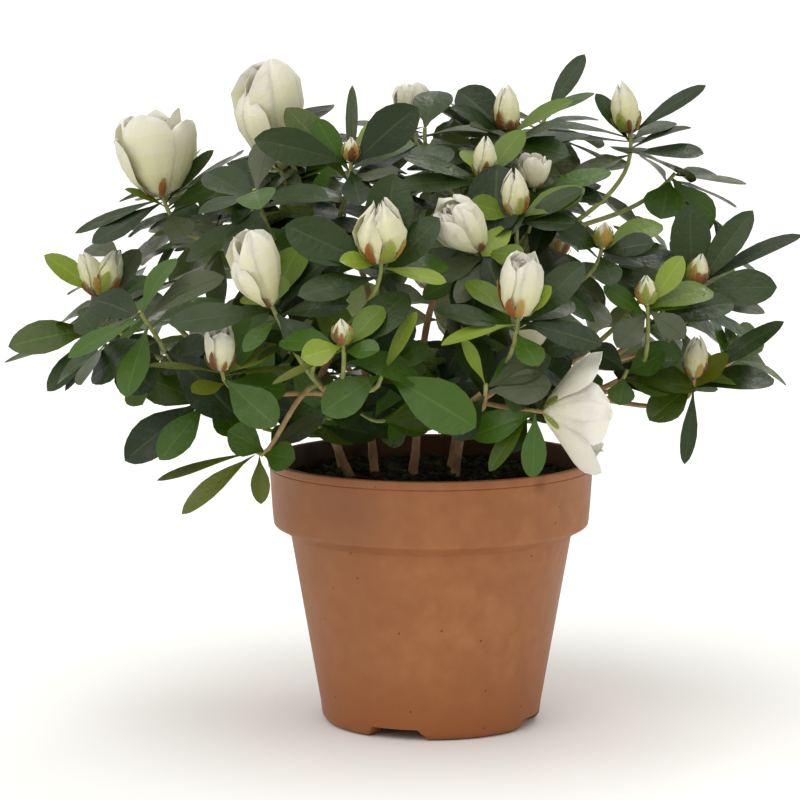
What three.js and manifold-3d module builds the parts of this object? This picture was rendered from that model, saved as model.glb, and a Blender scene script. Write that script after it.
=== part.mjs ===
// A potted azalea shrub: moulded pot, root ball, six stems, their boughs and the leafy, blossoming crown.
// Millimetres, +Z up. Places are measured from the pot's axis, and the whole shrub is centred at the end.
import * as THREE from "three";
import { mergeVertices } from "three/addons/utils/BufferGeometryUtils.js";
import Module from "manifold-3d";

const wasm = await Module();
wasm.setup();

// Clear space between a piece and the one that carries it.
const seatGap = 0.3;

// Corners of fused pieces lie on a grid: the first of these grains that leaves a clean body.
const grains = [0.002, 0.003, 0.004, 0.006, 0.01];

const pot = {
  height: 99.5,
  rimRadius: 60.3,
  lipRadius: 60.9,
  lipHeight: 3.5,
  collarHeight: 25.4,
  collarFootRadius: 58.9,
  collarRound: 2,
  underCollarRise: 3,
  neckRadius: 52.5,
  baseRadius: 41,
  baseRound: 5,
  wall: 1.6,
  footOuterRadius: 37,
  footInnerRadius: 31.5,
  floorUnderside: 4.6,
  floorThickness: 1.7,
  sides: 36,
  notches: 4,
  notchTurn: -109.6,
  notchWidth: 17,
  notchSlant: 2.2,
  notchHeight: 4.3,
  drainHoles: 6,
  drainRadius: 3.5,
  drainRing: 20,
};

const soil = { top: 94, flatRadius: 36, edgeDrop: 2.5, sides: 30 };

// Where all shoots seem to come from, and how far their tips reach over the sides, the top and the back.
const heart = new THREE.Vector3(-11, 0, 112);
const dome = { side: 123, top: 112, fullness: 2.5, lowestClimb: 10, unevenness: 0.12 };
const tipCount = 80;
const tipSpacing = 28;
const tipWander = 0.4;

// Tips of the sides and back point outwards and up, most upright where they carry a blossom.
const tipAxis = { outward: 0.75, leafyUp: 0.5, blossomUp: 1.1 };
// A named tip leans only this share of its outward aim towards the viewer.
const frontLean = 0.4;

// Each tip and each leaf draws its own chances.
const seeds = { tips: 1000, shoots: 5000, shootStep: 100, leafStep: 10 };

// No leaf hangs below the skirt, which drops on the left and climbs from its reach outwards.
const skirt = { height: 106, leftDrop: 26, reach: 85, climb: 0.5 };
// In front, every tip lower than this is one of the named ones.
const namedFront = { back: -45, height: 150 };
// By the rule only tips farther back and lower than this carry blossoms, hidden from the front.
const hiddenBlossoms = { back: 45, height: 195 };

const stems = {
  outer: 4,
  inner: 2,
  centre: new THREE.Vector2(-14, 3),
  outerRing: new THREE.Vector2(26, 17),
  innerRing: new THREE.Vector2(8, 6),
  outerRise: 30,
  innerRise: 44,
  outerLean: 13,
  innerLean: 3,
  outerFirstTurn: 45,
  innerFirstTurn: 0,
  footRadius: 2.1,
  tipRadius: 1.7,
  flare: 1.2,
  flareHeight: 0.3,
  sides: 8,
  steps: 5,
};

// Three rings of boughs: how steeply each ring climbs and how far along its stem a low bough leaves it.
const boughs = {
  lowClimb: 15,
  midClimb: 47,
  topClimb: 76,
  lowSpread: 22.5,
  lowStarts: [0.52, 0.76],
  leavingClimb: 35,
  entry: 52,
  startRadius: 1.5,
  endRadius: 1.25,
  sides: 5,
  steps: 3,
};

const twigs = { tipRadius: 0.95, sideRadius: 1.1, sides: 3, steps: 3, firstFork: 0.1, lastFork: 0.62 };

// How strongly a limb keeps to its first and last direction.
const bendPull = 0.36;

const leaf = {
  shortest: 28,
  longest: 38,
  leanest: 0.47,
  broadest: 0.6,
  thickness: 0.9,
  thickest: 0.36,
  sink: 0.5,
  whorl: 5,
  below: 1,
  firstStep: 0.8,
  whorlStep: 1.5,
  belowStep: 14,
  lowestShare: 0.25,
  youngest: 0.78,
  turnWander: 0.5,
  tightTilt: 48,
  blossomTilt: 68,
  flatTilt: 92,
  tiltWander: 16,
  facing: { axis: 0.45, up: 0.45, outward: 0.55 },
  fold: 0.06,
  droop: 0.16,
  flattest: 0.4,
  mostCurled: 1.6,
  sag: 0.12,
  tries: 9,
  turnPerTry: 0.7,
  tiltPerTry: 4,
  ballShares: [0.35, 0.6, 0.85],
  ballBreadth: 0.34,
};

// How far a leaf keeps from other masses, from limbs and from the pot.
const clearances = { mass: 0.8, limb: 0.9, pot: 1.5 };
// Wood is followed by balls this far apart.
const ballSpacing = { limb: 2, twig: 3 };

// Blossoms by kind, in shares of the height: breadth, height of the mouth's floor, and dip between petals.
const blossomKinds = {
  bud: { breadth: 0.7 },
  point: { breadth: 0.75 },
  pair: { breadth: 0.7 },
  cup: { breadth: 0.9, mouth: 0.55, petalDip: 0.16 },
  tall: { breadth: 0.62, mouth: 0.6, petalDip: 0.12 },
  open: { breadth: 2.2, mouth: 0.42, petalDip: 0.22 },
};

const petals = 5;
const budSides = 6;
const blossomSink = 1.5;
const pairLeans = [-20, 24];
const pairBreadth = 1.6;
const blossomBallShares = [0.3, 0.6, 0.85];

// Profiles as shares of the radius and of the height: a bud from foot to tip, and a cup's outside.
const budProfile = [
  [0.7, 0.16],
  [1, 0.45],
  [0.6, 0.8],
  [0, 1],
];
const cupProfile = [
  [0.62, 0.3],
  [1, 0.94],
];

// Shoot tips that the front shows: what they carry, how far right, back and up they are,
// the height of the blossom, and how far the tip leans to the right in degrees. Then come the leaves
// that draw the outline: how far right, back and up of the tip each one ends, its breadth,
// and how far its face is turned from upwards (0) to the viewer (1).
const frontTips = [
  ["cup", -98, -20, 199, 31, -5],
  ["tall", -55, -25, 209, 40, -8],
  ["pair", -121, -15, 162, 18, -6, [[-20, -4, 15, 9, 0.6]]],
  ["tall", -56, -95, 167, 29, -22],
  ["cup", -18, -105, 183, 23, -2],
  ["bud", -74, -85, 143, 17, -3],
  ["cup", 17, -87, 186, 21, -42],
  ["bud", 29, -78, 197, 17, -4],
  ["bud", 27, -42, 224, 17, -3, [[-17, 6, 14, 14, 0.8]]],
  ["bud", 18, -66, 209, 15, 2],
  ["cup", 36, -58, 205, 12, 0],
  ["bud", 72, -20, 222, 19, -12, [[27, 2, 17, 8, 0.4]]],
  ["bud", 29, -110, 165, 23, 3],
  ["open", 41, -104, 132, 20, 82],
  ["cup", 37, -72, 150, 15, 5],
  ["point", 95, -38, 168, 12, 10, [[38, 4, 17, 9, 0.35], [28, -7, 0, 14, 0.75], [20, 4, 26, 11, 0.6]]],
  ["point", 76, -66, 164, 11, -4],
  ["bud", 95, -42, 135, 16, 2, [[32, 2, 19, 9, 0.45], [-16, -6, -15, 13, 0.6], [-2, 0, -31, 8, 0.6]]],
  ["cup", -7, 25, 223, 17, -4],
  ["point", -31, -116, 156, 10, -4],
  ["point", -29, -55, 214, 9, 0, [[-32, -8, 8, 14, 0.7], [21, -4, 20, 15, 0.75]]],
  ["point", 60, -62, 184, 10, 6],
  ["leaf", -124, 0, 148, 0, -52, [[-32, -4, -7, 13, 0.55], [-30, 14, -20, 8, 0.3], [-16, -6, -26, 9, 0.5]]],
  ["leaf", -82, -62, 130, 0, -40, [[-28, 0, -21, 14, 0.65], [-11, -14, -19, 10, 0.6]]],
  ["leaf", -64, -66, 112, 0, -30, [[-27, 5, -19, 8, 0.35], [-20, -8, -23, 9, 0.5], [3, -10, -20, 8, 0.5]]],
  ["leaf", 108, 4, 178, 0, 48],
  ["leaf", 42, 4, 226, 0, 14, [[9, 6, 25, 8, 0.5]]],
  ["leaf", 90, -4, 206, 0, 40, [[26, 0, -4, 8, 0.25]]],
  ["leaf", -8, -106, 142, 0, 0],
];

// What the tips of the sides and back carry, in turn, and the height of each kind.
const backKinds = ["bud", "leaf", "cup", "leaf", "point", "leaf", "bud", "cup", "leaf"];
const backHeights = { bud: 18, cup: 26, point: 11, leaf: 0 };
const backSizes = [0.85, 1.15];

const up = new THREE.Vector3(0, 0, 1);
const right = new THREE.Vector3(1, 0, 0);
const back = new THREE.Vector3(0, 1, 0);
const goldenTurn = Math.PI * (3 - Math.sqrt(5));
const degrees = Math.PI / 180;

// An even stream of numbers from 0 to 1 that always repeats for the same seed.
function dice(seed) {
  let state = seed >>> 0;
  return () => {
    state = (state + 0x6d2b79f5) >>> 0;
    let mixed = Math.imul(state ^ (state >>> 15), state | 1);
    mixed ^= mixed + Math.imul(mixed ^ (mixed >>> 7), mixed | 61);
    return ((mixed ^ (mixed >>> 14)) >>> 0) / 4294967296;
  };
}

function mix(from, to, share) {
  return from + (to - from) * share;
}

function aimed(turn, climb) {
  const flat = Math.cos(climb);
  return new THREE.Vector3(flat * Math.cos(turn), flat * Math.sin(turn), Math.sin(climb));
}

// A closed geometry as a solid, turned right side out.
function solidOf(geometry) {
  const bare = geometry.clone();
  bare.deleteAttribute("normal");
  bare.deleteAttribute("uv");
  const merged = mergeVertices(bare, 1e-4);
  const triVerts = new Uint32Array(merged.index.array);
  const vertProperties = new Float32Array(merged.attributes.position.array);
  const solid = new wasm.Manifold(new wasm.Mesh({ numProp: 3, vertProperties, triVerts }));
  return solid.volume() < 0 ? flipped(vertProperties, triVerts) : solid;
}

function flipped(vertProperties, triVerts) {
  for (let i = 0; i < triVerts.length; i += 3) {
    [triVerts[i + 1], triVerts[i + 2]] = [triVerts[i + 2], triVerts[i + 1]];
  }
  return new wasm.Manifold(new wasm.Mesh({ numProp: 3, vertProperties, triVerts }));
}

function geometryOf(solid) {
  const { vertProperties, triVerts } = solid.getMesh();
  const geometry = new THREE.BufferGeometry();
  geometry.setAttribute("position", new THREE.BufferAttribute(vertProperties, 3));
  geometry.setIndex(new THREE.BufferAttribute(triVerts, 1));
  geometry.computeVertexNormals();
  return geometry;
}

// True where each edge, named by its two corners, is shared by just two faces.
function pairedEdges(corners) {
  const uses = new Map();
  for (let i = 0; i < corners.length; i += 3) {
    for (const [from, to] of [[0, 1], [1, 2], [2, 0]]) {
      const ends = [corners[i + from], corners[i + to]];
      const name = `${Math.min(...ends)} ${Math.max(...ends)}`;
      uses.set(name, (uses.get(name) ?? 0) + 1);
    }
  }
  return [...uses.values()].every((count) => count === 2);
}

// The same body with its corners on a grid, so that no edge is finer than the grain.
// Null where that would break the body.
function snapped(solid, grain) {
  const { vertProperties, triVerts } = solid.getMesh();
  const bare = new THREE.BufferGeometry();
  const places = vertProperties.map((place) => Math.round(place / grain) * grain);
  bare.setAttribute("position", new THREE.BufferAttribute(places, 3));
  bare.setIndex(new THREE.BufferAttribute(triVerts, 1));
  const merged = mergeVertices(bare, grain / 10);
  const kept = [];
  for (let i = 0; i < triVerts.length; i += 3) {
    const [a, b, c] = merged.index.array.subarray(i, i + 3);
    if (a !== b && b !== c && c !== a) kept.push(a, b, c);
  }
  if (!pairedEdges(kept)) return null;
  const vertices = merged.attributes.position.array;
  return new wasm.Manifold(
    new wasm.Mesh({ numProp: 3, vertProperties: vertices, triVerts: Uint32Array.from(kept) }),
  );
}

// The pieces as one body: hollows that the join seals are filled and loose scraps dropped.
function fused(pieces) {
  const joined = wasm.Manifold.union(pieces).simplify(0.1);
  const body = joined.decompose().reduce((most, one) => (one.volume() > most.volume() ? one : most));
  for (const grain of grains) {
    const clean = snapped(body, grain);
    if (clean) return clean;
  }
  return null;
}

// Wood, blossoms and leaves as one body. Where a leaf spoils the join, that one is left off.
function fusedFoliage(wood, leaves) {
  const whole = fused([...wood, ...leaves]);
  if (whole) return whole;
  for (let spoiler = 0; spoiler < leaves.length; spoiler++) {
    const rest = leaves.filter((_, index) => index !== spoiler);
    const body = fused([...wood, ...rest]);
    if (body) return body;
  }
  throw new Error("more than one leaf spoils the join");
}

function lathed(profile, sides) {
  const points = profile.map(([radius, height]) => new THREE.Vector2(radius, height));
  return new THREE.LatheGeometry(points, sides).rotateX(Math.PI / 2);
}

// Pot

function outerWall(height) {
  const foot = pot.baseRound;
  const neck = pot.height - pot.collarHeight - pot.underCollarRise;
  return mix(pot.baseRadius, pot.neckRadius, (height - foot) / (neck - foot));
}

function potProfile() {
  const collarFoot = pot.height - pot.collarHeight;
  const neck = collarFoot - pot.underCollarRise;
  const lipFoot = pot.height - pot.lipHeight;
  const floorTop = pot.floorUnderside + pot.floorThickness;
  const rounded = [30, 60].map((turn) => [
    mix(pot.footOuterRadius, pot.baseRadius, Math.sin(turn * degrees)),
    mix(pot.baseRound, 0, Math.cos(turn * degrees)),
  ]);
  return [
    [0, pot.floorUnderside],
    [pot.footInnerRadius, pot.floorUnderside],
    [pot.footInnerRadius + 0.5, 0],
    [pot.footOuterRadius, 0],
    ...rounded,
    [pot.baseRadius, pot.baseRound],
    [pot.neckRadius, neck],
    [pot.collarFootRadius - pot.collarRound, collarFoot],
    [pot.collarFootRadius, collarFoot + pot.collarRound],
    [pot.rimRadius, lipFoot],
    [pot.lipRadius, lipFoot + 0.6],
    [pot.lipRadius, pot.height],
    [pot.rimRadius - pot.wall, pot.height],
    [pot.collarFootRadius - pot.wall, collarFoot + pot.wall],
    [pot.neckRadius - pot.wall, neck],
    [outerWall(floorTop) - pot.wall, floorTop],
    [0, floorTop],
  ];
}

// A gap between two feet, with slanting ends, as a bar that points outwards.
function footNotch(turn) {
  const half = pot.notchWidth / 2;
  const wide = half + pot.notchSlant;
  const outline = new THREE.Shape();
  outline.moveTo(-wide, -1);
  outline.lineTo(wide, -1);
  outline.lineTo(half, pot.notchHeight);
  outline.lineTo(-half, pot.notchHeight);
  outline.closePath();
  const bar = new THREE.ExtrudeGeometry(outline, { depth: 20, bevelEnabled: false });
  bar.rotateX(Math.PI / 2).rotateZ(Math.PI / 2);
  bar.translate(pot.footInnerRadius - 4, 0, 0).rotateZ(turn);
  return solidOf(bar);
}

function drainHole(turn) {
  const hole = new THREE.CylinderGeometry(pot.drainRadius, pot.drainRadius, 20, 8);
  hole.rotateX(Math.PI / 2).translate(pot.drainRing, 0, 0).rotateZ(turn);
  return solidOf(hole);
}

function potSolid() {
  let solid = solidOf(lathed(potProfile(), pot.sides));
  for (let i = 0; i < pot.notches; i++) {
    solid = solid.subtract(footNotch((pot.notchTurn + (i * 360) / pot.notches) * degrees));
  }
  for (let i = 0; i < pot.drainHoles; i++) {
    solid = solid.subtract(drainHole(((i + 0.5) * 2 * Math.PI) / pot.drainHoles));
  }
  return solid;
}

// Root ball

function rootBallSolid() {
  const bottom = pot.floorUnderside + pot.floorThickness + seatGap;
  const collarFoot = pot.height - pot.collarHeight;
  const neck = collarFoot - pot.underCollarRise;
  const side = pot.wall + seatGap;
  const edge = soil.top - soil.edgeDrop;
  const rim = mix(pot.collarFootRadius, pot.rimRadius, (edge - collarFoot) / pot.collarHeight);
  return solidOf(
    lathed(
      [
        [0, bottom],
        [outerWall(bottom) - side, bottom],
        [pot.neckRadius - side, neck],
        [pot.collarFootRadius - side, collarFoot + pot.wall + seatGap],
        [rim - side, edge],
        [soil.flatRadius, soil.top],
        [0, soil.top],
      ],
      soil.sides,
    ),
  );
}

// Limbs

function bend(start, startAim, end, endAim) {
  const reach = start.distanceTo(end) * bendPull;
  return new THREE.CubicBezierCurve3(
    start,
    start.clone().addScaledVector(startAim, reach),
    end.clone().addScaledVector(endAim, -reach),
    end,
  );
}

// A tapering limb along a curve, closed at both ends by flat cuts.
function limb(curve, radiusAt, sides, steps) {
  const tube = new THREE.CylinderGeometry(1, 1, 1, sides, steps);
  const frames = curve.computeFrenetFrames(steps, false);
  const places = tube.attributes.position;
  const spot = new THREE.Vector3();
  for (let i = 0; i < places.count; i++) {
    spot.fromBufferAttribute(places, i);
    const step = Math.round((spot.y + 0.5) * steps);
    const radius = radiusAt(step / steps);
    const across = frames.normals[step].clone().multiplyScalar(spot.x * radius);
    const along = frames.binormals[step].clone().multiplyScalar(spot.z * radius);
    curve.getPointAt(step / steps, spot);
    spot.add(across).add(along);
    places.setXYZ(i, spot.x, spot.y, spot.z);
  }
  return solidOf(tube);
}

function stemRadius(share) {
  const flare = Math.max(0, 1 - share / stems.flareHeight);
  return mix(stems.footRadius, stems.tipRadius, share) + stems.flare * flare * flare;
}

function stemPlans() {
  const plans = [];
  const addRing = (count, ring, rise, lean, firstTurn) => {
    for (let i = 0; i < count; i++) {
      const turn = firstTurn * degrees + (i * 2 * Math.PI) / count;
      const outward = new THREE.Vector3(Math.cos(turn), Math.sin(turn), 0);
      const foot = new THREE.Vector3(
        stems.centre.x + ring.x * outward.x,
        stems.centre.y + ring.y * outward.y,
        soil.top + seatGap,
      );
      const tip = foot.clone().addScaledVector(outward, lean).addScaledVector(up, rise);
      const tipAim = outward.clone().multiplyScalar(lean / rise).add(up).normalize();
      plans.push({ turn, curve: bend(foot, up.clone(), tip, tipAim), tipAim });
    }
  };
  addRing(stems.outer, stems.outerRing, stems.outerRise, stems.outerLean, stems.outerFirstTurn);
  addRing(stems.inner, stems.innerRing, stems.innerRise, stems.innerLean, stems.innerFirstTurn);
  return plans;
}

function stemSolid(plan) {
  const whole = limb(plan.curve, stemRadius, stems.sides, stems.steps);
  const ground = new THREE.BoxGeometry(2 * pot.rimRadius, 2 * pot.rimRadius, soil.top);
  ground.translate(0, 0, soil.top / 2 + seatGap);
  return whole.subtract(solidOf(ground));
}

// Each stem's boughs: two low ones from its side and one from its tip, or a top one on an inner stem.
function boughPlans(stemList) {
  const plans = [];
  const add = (stem, turn, climb, start, startAim, fromTip) => {
    const aim = aimed(turn, climb);
    const end = heart.clone().addScaledVector(aim, boughs.entry);
    plans.push({ stem, aim, end, fromTip, curve: bend(start, startAim, end, aim) });
  };
  stemList.forEach((stem, index) => {
    const tip = stem.curve.getPointAt(1).addScaledVector(stem.tipAim, seatGap);
    if (index >= stems.outer) {
      add(stem, stem.turn, boughs.topClimb * degrees, tip, stem.tipAim, true);
      return;
    }
    boughs.lowStarts.forEach((share, side) => {
      const turn = stem.turn + (side ? 1 : -1) * boughs.lowSpread * degrees;
      const startAim = aimed(turn, boughs.leavingClimb * degrees);
      add(stem, turn, boughs.lowClimb * degrees, stem.curve.getPointAt(share), startAim, false);
    });
    add(stem, stem.turn, boughs.midClimb * degrees, tip, stem.tipAim, true);
  });
  return plans;
}

function boughRadius(share) {
  return mix(boughs.startRadius, boughs.endRadius, share);
}

function boughSolid(plan) {
  const whole = limb(plan.curve, boughRadius, boughs.sides, boughs.steps);
  if (plan.fromTip) return whole;
  const swollenRadius = (share) => stemRadius(share) + seatGap;
  const swollen = limb(plan.stem.curve, swollenRadius, stems.sides, stems.steps);
  return whole.subtract(swollen);
}

// Crown

function domeReach(climb) {
  const flat = Math.abs(Math.cos(climb)) / dome.side;
  const high = Math.abs(Math.sin(climb)) / dome.top;
  return (flat ** dome.fullness + high ** dome.fullness) ** (-1 / dome.fullness);
}

function frontShoots() {
  return frontTips.map(([kind, x, y, z, height, lean, outline = []]) => {
    const at = new THREE.Vector3(x, y, z);
    const outward = at.clone().sub(heart).normalize();
    const axis = new THREE.Vector3(Math.sin(lean * degrees), 0, Math.cos(lean * degrees));
    axis.addScaledVector(back, outward.y * frontLean).normalize();
    return { kind, at, height, outward, axis, outline };
  });
}

// All shoot tips: those seen from the front, then the rest spread over the dome by the golden angle.
function allShoots() {
  const shoots = frontShoots();
  const lowest = Math.sin(dome.lowestClimb * degrees);
  for (let i = 0; i < tipCount; i++) {
    const chance = dice(seeds.tips + i);
    const climb = Math.asin(mix(lowest, 1, (i + 0.5) / tipCount));
    const turn = i * goldenTurn + tipWander * (chance() - 0.5);
    const reach = domeReach(climb) * (1 + dome.unevenness * (chance() - 0.5));
    const outward = aimed(turn, climb);
    const at = heart.clone().addScaledVector(outward, reach);
    if (shoots.some((shoot) => shoot.at.distanceTo(at) < tipSpacing)) continue;
    if (at.y < namedFront.back && at.z < namedFront.height) continue;
    const hidden = at.y > hiddenBlossoms.back && at.z < hiddenBlossoms.height;
    const kind = hidden ? backKinds[i % backKinds.length] : "leaf";
    const upright = kind === "leaf" ? tipAxis.leafyUp : tipAxis.blossomUp;
    const axis = outward.clone().multiplyScalar(tipAxis.outward).addScaledVector(up, upright).normalize();
    const height = backHeights[kind] * mix(...backSizes, chance());
    shoots.push({ kind, at, height, outward, axis, outline: [] });
  }
  shoots.forEach((shoot, index) => (shoot.seed = seeds.shoots + index * seeds.shootStep));
  return shoots;
}

// Each shoot belongs to the bough that points most nearly at it, and the first one leads its mass.
function sharedOut(shoots, boughList) {
  const shares = boughList.map(() => []);
  shoots.forEach((shoot) => {
    const outward = shoot.at.clone().sub(heart).normalize();
    const match = boughList.map((bough) => bough.aim.dot(outward));
    shares[match.indexOf(Math.max(...match))].push(shoot);
  });
  shares.forEach((share, index) => {
    const { aim } = boughList[index];
    const nearness = (shoot) => shoot.at.clone().sub(heart).normalize().dot(aim);
    share.sort((a, b) => nearness(b) - nearness(a));
  });
  return shares;
}

// A mass's own stem runs on from its bough to the leading shoot, and side twigs leave it for the others.
function twigPlans(bough, shoots) {
  const start = bough.end.clone().addScaledVector(bough.aim, seatGap);
  return shoots.map((shoot, index) => {
    if (index === 0) {
      return { shoot, curve: bend(start, bough.aim, shoot.at, shoot.axis), radius: boughs.endRadius };
    }
    const main = bend(start, bough.aim, shoots[0].at, shoots[0].axis);
    const share = mix(twigs.firstFork, twigs.lastFork, (index - 0.5) / shoots.length);
    const fork = woodPoint(main, share);
    const aim = main.getTangentAt(share).add(shoot.at.clone().sub(fork).normalize()).normalize();
    return { shoot, curve: bend(fork, aim, shoot.at, shoot.axis), radius: twigs.sideRadius };
  });
}

// A point on the middle line of a twig's straight stretches.
function woodPoint(curve, share) {
  const step = Math.min(Math.floor(share * twigs.steps), twigs.steps - 1);
  const from = curve.getPointAt(step / twigs.steps);
  return from.lerp(curve.getPointAt((step + 1) / twigs.steps), share * twigs.steps - step);
}

function twigSolid(plan) {
  const radiusAt = (share) => mix(plan.radius, twigs.tipRadius, share);
  return limb(plan.curve, radiusAt, twigs.sides, twigs.steps);
}

// Leaves

// Where one leaf sits and how it points: a whorl close under the shoot's tip, then single leaves lower down.
function leafPlan(plan, index, attempt) {
  const { shoot, curve } = plan;
  const chance = dice(shoot.seed + index * seeds.leafStep);
  const low = index >= leaf.whorl;
  const length = curve.getLength();
  const below = low
    ? leaf.whorl * leaf.whorlStep + (index - leaf.whorl + 1) * leaf.belowStep
    : leaf.firstStep + index * leaf.whorlStep;
  const share = Math.max(leaf.lowestShare, 1 - below / length);
  const foot = woodPoint(curve, share);
  const axis = curve.getTangentAt(share);
  const steep = Math.abs(axis.z) > 0.9;
  const side = new THREE.Vector3().crossVectors(axis, steep ? right : up).normalize();
  const other = new THREE.Vector3().crossVectors(axis, side);
  const wander = leaf.turnWander * (chance() - 0.5);
  const turn = shoot.seed + index * goldenTurn + wander + attempt * leaf.turnPerTry;
  const open = low ? 1 : (index + 1) / leaf.whorl;
  const tightest = shoot.height > 0 ? leaf.blossomTilt : leaf.tightTilt;
  const lean = mix(tightest, leaf.flatTilt, open) + leaf.tiltWander * (chance() - 0.5);
  const tilt = (lean - attempt * leaf.tiltPerTry) * degrees;
  const aim = axis.clone().multiplyScalar(Math.cos(tilt));
  aim.addScaledVector(side, Math.sin(tilt) * Math.cos(turn));
  aim.addScaledVector(other, Math.sin(tilt) * Math.sin(turn));
  aim.z -= leaf.sag * open;
  aim.normalize();
  const face = axis.clone().multiplyScalar(leaf.facing.axis).addScaledVector(up, leaf.facing.up);
  face.addScaledVector(shoot.outward, leaf.facing.outward).addScaledVector(aim, -face.dot(aim)).normalize();
  const size = mix(leaf.shortest, leaf.longest, chance()) * mix(leaf.youngest, 1, open);
  const breadth = size * mix(leaf.leanest, leaf.broadest, chance());
  const curl = leaf.droop * mix(leaf.flattest, leaf.mostCurled, chance());
  return { foot, aim, face, size, breadth, curl };
}

// A leaf of the outline, from just below the shoot's tip to its own named tip.
function outlineLeafPlan({ shoot, curve }, [x, y, z, breadth, facing], index) {
  const below = leaf.firstStep + index * leaf.whorlStep;
  const foot = woodPoint(curve, 1 - below / curve.getLength());
  const reach = new THREE.Vector3(x, y, z);
  const aim = reach.clone().normalize();
  const face = up.clone().multiplyScalar(1 - facing).addScaledVector(back, -facing);
  face.addScaledVector(aim, -face.dot(aim)).normalize();
  return { foot, aim, face, size: reach.length(), breadth, curl: 0 };
}

// A point of the blade: how far along it, and how far across in half breadths.
function bladePoint({ foot, aim, face, size, breadth, curl }, along, across) {
  const side = new THREE.Vector3().crossVectors(aim, face);
  const point = foot.clone().addScaledVector(aim, size * along - leaf.sink);
  point.addScaledVector(side, (breadth / 2) * across);
  return point.addScaledVector(face, size * (leaf.fold * Math.abs(across) - curl * along * along));
}

// The blade's corners, as shares of its length and half breadth: a pointed foot and a blunt tip.
const bladeOutline = [
  [0, 0],
  [0.55, 1],
  [0.95, 0.4],
  [0.95, -0.4],
  [0.55, -1],
];

function leafSolid(plan) {
  const corners = bladeOutline.length;
  const crest = bladePoint(plan, leaf.thickest, 0);
  const blade = new THREE.SphereGeometry(1, corners, 2);
  const places = blade.attributes.position;
  for (let i = 0; i < places.count; i++) {
    const [x, y, z] = [places.getX(i), places.getY(i), places.getZ(i)];
    const corner = Math.round((Math.atan2(z, -x) / (2 * Math.PI)) * corners + 2 * corners) % corners;
    const point =
      Math.abs(y) > 0.5
        ? crest.clone().addScaledVector(plan.face, (Math.sign(y) * leaf.thickness) / 2)
        : bladePoint(plan, ...bladeOutline[corner]);
    places.setXYZ(i, point.x, point.y, point.z);
  }
  return solidOf(blade);
}

// Points inside the blade that are tried for room beside its corners.
const bladeMiddle = [
  [0.3, 0],
  [0.55, 0],
  [0.8, 0],
  [0.3, 0.5],
  [0.3, -0.5],
  [0.8, 0.6],
  [0.8, -0.6],
];

function leafSamples(plan) {
  const spots = [...bladeMiddle, ...bladeOutline.slice(1)];
  return spots.map(([along, across]) => bladePoint(plan, along, across));
}

// Blossoms

function turnedTo(geometry, at, axis) {
  const turn = new THREE.Quaternion().setFromUnitVectors(up, axis);
  return geometry.applyQuaternion(turn).translate(at.x, at.y, at.z);
}

function budSolid(at, axis, height, breadth) {
  const radius = (height * breadth) / 2;
  const outline = budProfile.map(([across, along]) => [radius * across, height * along]);
  const profile = [[0, -blossomSink], ...outline];
  return solidOf(turnedTo(lathed(profile, budSides), at, axis));
}

// Five petals round a mouth: the edge rises and spreads at each petal's tip and dips between them.
function cupSolid(at, axis, height, { breadth, mouth, petalDip }) {
  const radius = (height * breadth) / 2;
  const outline = cupProfile.map(([across, along]) => [radius * across, height * along]);
  const edge = outline.at(-1)[1];
  const profile = [[0, -blossomSink], ...outline, [0, height * mouth]];
  const corners = 2 * petals;
  const cup = lathed(profile, corners);
  const places = cup.attributes.position;
  const spot = new THREE.Vector3();
  for (let i = 0; i < places.count; i++) {
    spot.fromBufferAttribute(places, i);
    const corner = Math.round((Math.atan2(spot.x, -spot.y) / (2 * Math.PI)) * corners + corners);
    if (spot.z > edge - 0.1 && corner % 2) {
      places.setXYZ(i, spot.x * (1 - petalDip), spot.y * (1 - petalDip), spot.z - height * petalDip);
    }
  }
  return solidOf(turnedTo(cup, at, axis));
}

function blossomSolids({ kind, at, axis, height }) {
  const shape = blossomKinds[kind];
  if (!shape) return [];
  if (shape.mouth) return [cupSolid(at, axis, height, shape)];
  if (kind !== "pair") return [budSolid(at, axis, height, shape.breadth)];
  return pairLeans.map((lean) => {
    const apart = axis.clone().applyAxisAngle(back, lean * degrees);
    return budSolid(at, apart, height, shape.breadth);
  });
}

// The balls that a blossom fills, for keeping others clear of it.
function blossomBalls({ kind, at, axis, height }) {
  const shape = blossomKinds[kind];
  if (!shape) return [];
  const radius = (height * shape.breadth) / 2;
  return blossomBallShares.map((share) => ({
    at: at.clone().addScaledVector(axis, height * share),
    radius: kind === "pair" ? radius * pairBreadth : radius,
  }));
}

// Spaces

function ballsAlong(curve, radiusAt, spacing) {
  const count = Math.max(2, Math.ceil(curve.getLength() / spacing));
  return Array.from({ length: count + 1 }, (_, i) => ({
    at: curve.getPointAt(i / count),
    radius: radiusAt(i / count),
  }));
}

function clearance(point, balls) {
  return balls.reduce((least, ball) => Math.min(least, point.distanceTo(ball.at) - ball.radius), Infinity);
}

// Balls down the middle of a blade, which other leaves of its mass keep away from.
function bladeBalls(plan) {
  const radius = leaf.ballBreadth * plan.breadth;
  return leaf.ballShares.map((along) => ({ at: bladePoint(plan, along, 0), radius }));
}

function skirtHeight(point) {
  const reach = Math.hypot(point.x - heart.x, point.y - heart.y);
  const left = Math.max(0, (heart.x - point.x) / Math.max(reach, 1));
  return skirt.height - skirt.leftDrop * left * left + skirt.climb * Math.max(0, reach - skirt.reach);
}

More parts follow.
